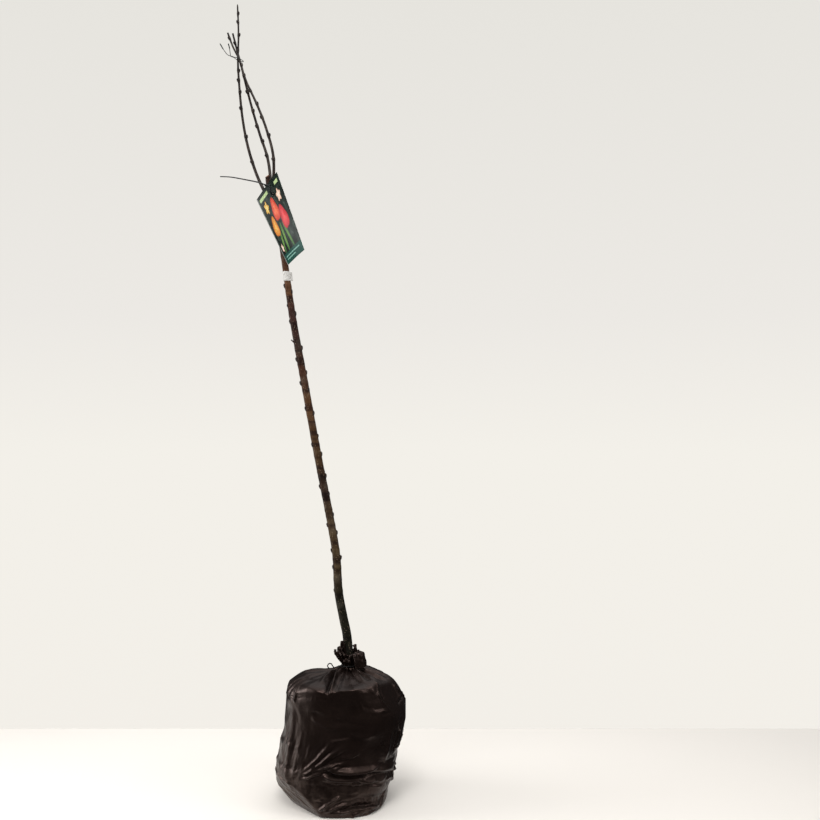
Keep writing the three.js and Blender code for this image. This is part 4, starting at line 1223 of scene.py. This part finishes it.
tape = {
    "low": 1249.3, "high": 1272.7, "inner": 8.55, "thick": 1.3, "wall": 0.22,
    "turns": 2.35, "shift": 2.2,   # each turn is laid a little lower than the last
    "flag": 6.0,   # how far the loose end stands off
    "columns": 190, "rows": 14,
}


def paperTape():
    # soft white floral tape: matt, slightly grey where it creases
    material, tree, shader = newMaterial("whiteTiePaper", {"Roughness": 0.68})
    spot = addNode(tree, "TexCoord").outputs["Object"]
    marks = addNode(tree, "TexNoise", {"Scale": 170.0, "Detail": 4.0, "Roughness": 0.65}, {"Vector": spot})
    tone = addNode(tree, "ValToRGB", {"stops": [(0.34, "#96938f"), (0.46, "#bab8b4"), (0.8, "#c8c6c2")]},
                   {"Fac": marks})
    flatter = addNode(tree, "Mapping", {"Scale": (1, 1, 2.4)}, {"Vector": spot})
    wrinkle = addNode(tree, "TexNoise", {"Scale": 320.0, "Detail": 3.0}, {"Vector": flatter})
    bumped = addNode(tree, "Bump", {"Strength": 0.6, "Distance": 0.0006}, {"Height": wrinkle})
    linkTo(shader, {"Base Color": tone, "Normal": bumped})
    return material


def buildTape():  # wound round the trunk, with its end left as a flag
    columns, rows = tape["columns"], tape["rows"]
    points = []
    for c in range(columns):
        t = c / (columns - 1)
        turn = t * tape["turns"] * math.tau - 0.35 * math.tau
        free = max(0.0, (t - 0.93) / 0.07)
        r = tape["inner"] + tape["thick"] * t * 0.75
        low, high = tape["low"] + tape["shift"] * (1 - t), tape["high"] - tape["shift"] * t
        for k in range(rows):
            h = k / (rows - 1)
            wrinkle = 0.28 * math.sin(h * 17 + turn * 3) * math.sin(turn * 5)
            out = r + wrinkle * 0.5 + free ** 1.3 * tape["flag"] * 0.8
            points.append(roundTrunk(turn - free * 0.25, out, low + (high - low) * h))
    piece = meshPiece("trunkTape", points, gridFaces(columns, rows, wrap=False), [paperTape()])
    addWall(piece, "tapeWall", tape["wall"], 0)
    return piece


finished(buildTape(), "trunk_tape")

card = {
    "corners": [(-205.7, 16, 1449.1), (-147.4, -48, 1501.4), (-74.3, -120, 1305.9), (-121.9, -42, 1282)],
    "lift": 0.8, "wall": 0.6, "bulge": 3.5,
    "hole": (0.625, 0.166, 4.2),   # share across, share down, radius
    "columns": 49, "rows": 81,
    # leaves and flower heads: middle, half length, half width, turn, outer and inner tone, petals, parting
    "heads": [
        (0.44, 0.30, 0.20, 0.050, 78, "#2f5a2c", "#67853c", 0, 0.0),
        (0.63, 0.29, 0.19, 0.045, 108, "#284f2b", "#5a7c38", 0, 0.0),
        (0.28, 0.28, 0.17, 0.040, 62, "#2f5a2c", "#6c8a42", 0, 0.0),
        (0.25, 0.49, 0.135, 0.115, 80, "#b4651f", "#cf9f4a", 3, 0.13),
        (0.72, 0.50, 0.150, 0.130, 100, "#a01c26", "#cc4546", 3, 0.13),
        (0.50, 0.66, 0.150, 0.125, 90, "#ab2a1a", "#d2643f", 3, 0.13),
        (0.22, 0.78, 0.075, 0.075, 0, "#b98a2e", "#d0bf78", 5, 0.22),
        (0.80, 0.77, 0.070, 0.070, 20, "#c9a48f", "#d4c8ba", 5, 0.22),
        (0.14, 0.22, 0.045, 0.050, 0, "#c9a48f", "#d4c8ba", 5, 0.22),
    ],
    # bars: left, right, bottom, top, tone
    "bars": [
        (-1, 2, -1, 0.13, "#143f37"), (0.12, 0.60, 0.045, 0.058, "#6f9a8d"),
        (0.12, 0.86, 0.082, 0.095, "#6f9a8d"), (0.08, 0.46, 0.905, 0.950, "#9eb27e"),
        (0.78, 0.92, 0.905, 0.950, "#9eb27e"), (-1, 0.03, -1, 2, "#767c78"),
    ],
}
cardCorners = [Vector(c) for c in card["corners"]]


def onCard(across, down):
    a = cardCorners[0].lerp(cardCorners[1], across)
    return a.lerp(cardCorners[3].lerp(cardCorners[2], across), down)


def cardFront(across, down):
    right = onCard(min(1, across + 0.02), down) - onCard(max(0, across - 0.02), down)
    fall = onCard(across, min(1, down + 0.02)) - onCard(across, max(0, down - 0.02))
    return fall.cross(right).normalized()


def cardPoint(across, down, lift):
    bow = card["bulge"] * math.sin(across * math.pi) * (0.4 + 0.6 * math.sin(down * math.pi))
    return onCard(across, down) + cardFront(across, down) * (bow + lift)


def cardPrint():
    # glossy printed polypropylene: dark leafy ground, pale bars without words, bold flower heads, a teal foot
    material, tree, shader = newMaterial("printedPolypropylene", {
        "IOR": 1.49, "Roughness": 0.3, "Specular IOR Level": 0.1})
    uv = addNode(tree, "UVMap", {"uv_map": "cardPlace"}).outputs[0]
    place = addNode(tree, "SeparateXYZ", {}, {"Vector": uv}).outputs
    leafy = addNode(tree, "TexNoise", {"Scale": 9.0, "Detail": 5.0, "Distortion": 0.8}, {"Vector": uv})
    ground = [(0.3, "#070d0a"), (0.48, "#0f1a14"), (0.62, "#1f2b24"), (0.8, "#444e48")]
    colour = addNode(tree, "ValToRGB", {"stops": ground}, {"Fac": leafy}).outputs["Color"]
    for cx, cy, long, wide, turn, outer, inner, petals, parting in card["heads"]:
        moved = addNode(tree, "Mapping", {"vector_type": "TEXTURE", "Location": (cx, cy, 0),
                                          "Rotation": (0, 0, math.radians(turn)), "Scale": (long, wide, 1)},
                        {"Vector": uv})
        far = addNode(tree, "VectorMath", {"operation": "LENGTH"}, {0: moved}).outputs["Value"]
        xy = addNode(tree, "SeparateXYZ", {}, {"Vector": moved}).outputs
        bearing = addNode(tree, "Math", {"operation": "ARCTAN2"}, {0: xy["Y"], 1: xy["X"]})
        many = addNode(tree, "Math", {"operation": "MULTIPLY", 1: float(petals)}, {0: bearing})
        wave = addNode(tree, "Math", {"operation": "COSINE"}, {0: many})
        edged = addNode(tree, "Math", {"operation": "MULTIPLY_ADD", 1: -parting}, {0: wave, 2: far})
        mask = addNode(tree, "MapRange", {"From Min": 1.06, "From Max": 0.94}, {"Value": edged})
        glow = addNode(tree, "MapRange", {"From Min": 0.95, "From Max": 0.1}, {"Value": edged})
        head = addNode(tree, "Mix", {"data_type": "RGBA", 6: linear(outer), 7: linear(inner)}, {0: glow})
        over = addNode(tree, "Mix", {"data_type": "RGBA"}, {0: mask, 6: colour, 7: head.outputs[2]})
        colour = over.outputs[2]
    for left, right, low, high, tone in card["bars"]:
        inside = None
        for axis, edge, side in (("X", left, "GREATER_THAN"), ("X", right, "LESS_THAN"),
                                 ("Y", low, "GREATER_THAN"), ("Y", high, "LESS_THAN")):
            test = addNode(tree, "Math", {"operation": side, 1: edge}, {0: place[axis]})
            both = {0: inside, 1: test}
            inside = test if inside is None else addNode(tree, "Math", {"operation": "MULTIPLY"}, both)
        over = addNode(tree, "Mix", {"data_type": "RGBA", 7: linear(tone)}, {0: inside, 6: colour})
        colour = over.outputs[2]
    swell = addNode(tree, "TexNoise", {"Scale": 3.0, "Detail": 1.0}, {"Vector": uv})
    bumped = addNode(tree, "Bump", {"Strength": 0.25, "Distance": 0.004}, {"Height": swell})
    linkTo(shader, {"Base Color": colour, "Normal": bumped})
    return material


def punchHole(piece):
    across, down, radius = card["hole"]
    middle = cardPoint(across, down, card["lift"]) * mm
    front = cardFront(across, down)
    work = bmesh.new()
    work.from_mesh(piece.data)
    gone = [f for f in work.faces if (f.calc_center_median() - middle).length < radius * mm * 1.02]
    bmesh.ops.delete(work, geom=gone, context="FACES")
    for v in work.verts:
        away = v.co - middle
        if v.is_boundary and away.length < radius * mm * 2.0:  # drawn out to a true circle
            flat = away - front * away.dot(front)
            v.co = middle + flat.normalized() * radius * mm + front * away.dot(front)
    work.to_mesh(piece.data)
    work.free()


def buildCard():
    columns, rows = card["columns"], card["rows"]
    points, places = [], []
    for j in range(rows):
        for i in range(columns):
            across, down = i / (columns - 1), j / (rows - 1)
            points.append(cardPoint(across, down, card["lift"]) * mm)
            places.append((across, 1 - down))
    faces = [tuple(reversed(f)) for f in gridFaces(rows, columns, wrap=False)]
    skins = [cardPrint(), plastic("whitePolypropylene", "#d9d8d2", 0.4)]
    piece = meshPiece("labelCard", points, faces, skins)
    layer = piece.data.uv_layers.new(name="cardPlace")
    for loop in piece.data.loops:
        layer.data[loop.index].uv = places[loop.vertex_index]
    punchHole(piece)
    wall = addWall(piece, "cardWall", card["wall"], -1)
    wall.material_offset = 1  # back and edges stay unprinted
    wall.material_offset_rim = 1
    return piece


finished(buildCard(), "label_card")

strap = {
    "width": 3.4, "thick": 1.2, "tipNarrower": 0.32,
    "head": (-169, -38, 1472), "headSize": (6.4, 5, 4.2), "headTilt": -20,
    # the loop leaves the head, goes through the card's hole from front to back, and runs round the trunk
    "toHole": (-165, -44, 1465), "beforeHole": 5, "behindHole": 6,
    "round": [(-150, -18, 1458), (-152, -2, 1467), (-158, 7.5, 1475), (-171, 11, 1480), (-181.5, 11, 1481.5),
              (-184.2, 6, 1481), (-183, -6, 1480), (-178, -22, 1476)],
    "tail": [(-180, -36, 1474.5), (-189, -37, 1478), (-226, -39, 1485.5), (-259, -40, 1491),
             (-284, -39, 1492.5)],
    "section": [(-1, -0.6), (-0.86, -1), (0.86, -1), (1, -0.6), (1, 0.6), (0.86, 1), (-0.86, 1), (-1, 0.6)],
    "teethStep": 1.3, "teethFrom": 6, "teethStopShort": 24,
    "tooth": (0.3, 0.36, 0.25),   # half length, half width as a share of the strap's width, height
}


def bandMesh(line, widths, wideAt, closed):
    # a flat band; frames give its length, width and thickness at each place
    tangents = np.roll(line, -1, 0) - np.roll(line, 1, 0) if closed else np.gradient(line, axis=0)
    thick = strap["thick"] * mm
    verts, frames = [], []
    for i, tangent in enumerate(tangents):
        along = Vector(tangent).normalized()
        wide = Vector(wideAt(i / len(line)))
        wide = (wide - along * wide.dot(along)).normalized()
        up = along.cross(wide).normalized()
        frames.append((along, wide, up))
        for a, b in strap["section"]:
            verts.append(tuple(Vector(line[i]) + wide * (a * widths[i] / 2) + up * (b * thick / 2)))
    return verts, tubeFaces(len(line), len(strap["section"]), closed), frames


def strapTeeth(line, widths, frames):  # small bars across the inner face of the tail
    points, turns, grows = [], [], []
    step = max(1, int(strap["teethStep"] * mm / np.linalg.norm(line[1] - line[0])))
    for i in range(strap["teethFrom"], len(line) - strap["teethStopShort"], step):
        along, wide, up = frames[i]
        points.append(Vector(line[i]) - up * strap["thick"] * mm * 0.5)
        turns += list(Matrix((along, wide, up)).transposed().to_euler())
        grows += [1, widths[i] / (strap["width"] * mm), 1]
    halfLong, halfShare, high = strap["tooth"]
    x, y, z = halfLong * mm, strap["width"] * halfShare * mm, -high * mm
    corners = [(-x, -y, 0), (x, -y, 0), (x, y, 0), (-x, y, 0), (0, -y, z), (0, y, z)]
    tooth = meshPiece("tooth", corners, [(0, 3, 2, 1), (0, 1, 4), (3, 5, 2), (0, 4, 5, 3), (1, 2, 5, 4)])
    return markedPoints("teethPlaces", points, turns, grows), turnedOut(tooth)


def addStrapHead(piece):  # moulded box round the crossing
    work = bmesh.new()
    work.from_mesh(piece.data)
    box = bmesh.ops.create_cube(work, size=1.0)["verts"]
    tilt = Matrix.Rotation(math.radians(strap["headTilt"]), 4, "Y")
    place = Matrix.Translation(Vector(strap["head"]) * mm) @ tilt
    for v in box:
        v.co = place @ Vector(tuple(c * s * mm for c, s in zip(v.co, strap["headSize"])))
    edges = list({e for v in box for e in v.link_edges})
    bmesh.ops.bevel(work, geom=edges, offset=0.7 * mm, segments=2, affect="EDGES")
    work.to_mesh(piece.data)
    work.free()


def buildStrap():
    across, down, _ = card["hole"]
    hole = cardPoint(across, down, card["lift"] / 2)
    front = cardFront(across, down)
    loop = [strap["head"], strap["toHole"], hole + front * strap["beforeHole"], hole,
            hole - front * strap["behindHole"]] + strap["round"]
    loopLine = throughPoints([tuple(Vector(p) * mm) for p in loop], 150, True)
    tailLine = throughPoints([tuple(Vector(p) * mm) for p in [strap["head"]] + strap["tail"]], 110)

    def loopWide(u):  # turned flat where it goes through the hole
        nearHole = math.exp(-((u - 0.2) / 0.1) ** 2)
        return (0.6 * nearHole, -0.6 * nearHole, 1)

    ring = bandMesh(loopLine, [strap["width"] * mm] * len(loopLine), loopWide, True)
    n = len(tailLine)
    widths = [strap["width"] * mm * (1 - strap["tipNarrower"] * i / n) for i in range(n)]
    end = bandMesh(tailLine, widths, lambda u: (0, 0.25, 1), False)
    verts, faces = gather([ring[:2], end[:2]])
    dark = plastic("blackNylonStrap", "#0e1012", 0.46)
    bands = turnedOut(meshPiece("strapBands", verts, faces, [dark]))
    places, tooth = strapTeeth(tailLine, widths, end[2])
    whole = runTree(bands, placeOnPoints, {"Places": places, "Shape": tooth, "Finish": dark}, "labelStrap")
    drop(places, tooth, bands)
    addStrapHead(whole)
    return whole


finished(buildStrap(), "label_strap")

wire = {
    "radius": 0.8, "middle": (-246, 0.7, 1784), "across": 10.2, "deep": 9.9, "slope": 4,
    "twist": 4.2,   # length of one turn where the two ends are twisted
    "knot": [(-255.6, -0.3, 1788), (-260.5, -2.5, 1789.5), (-266, -4, 1791)],
    "ends": [[(-265.5, -4, 1791), (-272, -6, 1793), (-281, -8, 1804), (-290, -9, 1819)],
             [(-265.5, -4, 1791), (-265.5, -12, 1799), (-266, -17, 1807), (-268, -20, 1815)]],
}


def buildWire():
    x, y, z = wire["middle"]
    thick = wire["radius"] * mm
    across, deep, slope = wire["across"], wire["deep"], wire["slope"]
    ring = [(x + math.cos(a) * across, y + math.sin(a) * deep, z - math.cos(a) * slope) for a in turnsOf(48)]
    loop = throughPoints(inMetres(ring), 96, True)
    lines = [tubeAlong(loop, np.full(len(loop), thick), 10, True)]
    knot = throughPoints(inMetres(wire["knot"]), 50)
    for phase in (0, math.pi):
        turn = math.tau / (wire["twist"] * mm)
        lines.append(tubeAlong(knot, np.full(len(knot), thick), 8, False, turn, thick, phase))
    for places in wire["ends"]:
        line = throughPoints(inMetres(places), 60)
        t = np.linspace(0, 1, len(line))
        sleeve = 1 + 0.7 * smoothStep((t - 0.58) / 0.06)
        blunt = 1 - 0.5 * smoothStep((t - 0.97) / 0.03)
        lines.append(tubeAlong(line, wire["radius"] * sleeve * blunt * mm, 10))
    verts, faces = gather(lines)
    return turnedOut(meshPiece("crownWire", verts, faces, [plastic("sleevedGardenWire", "#1c2220", 0.5)]))


finished(buildWire(), "crown_tie")
print("ties and card")

drop(bud)
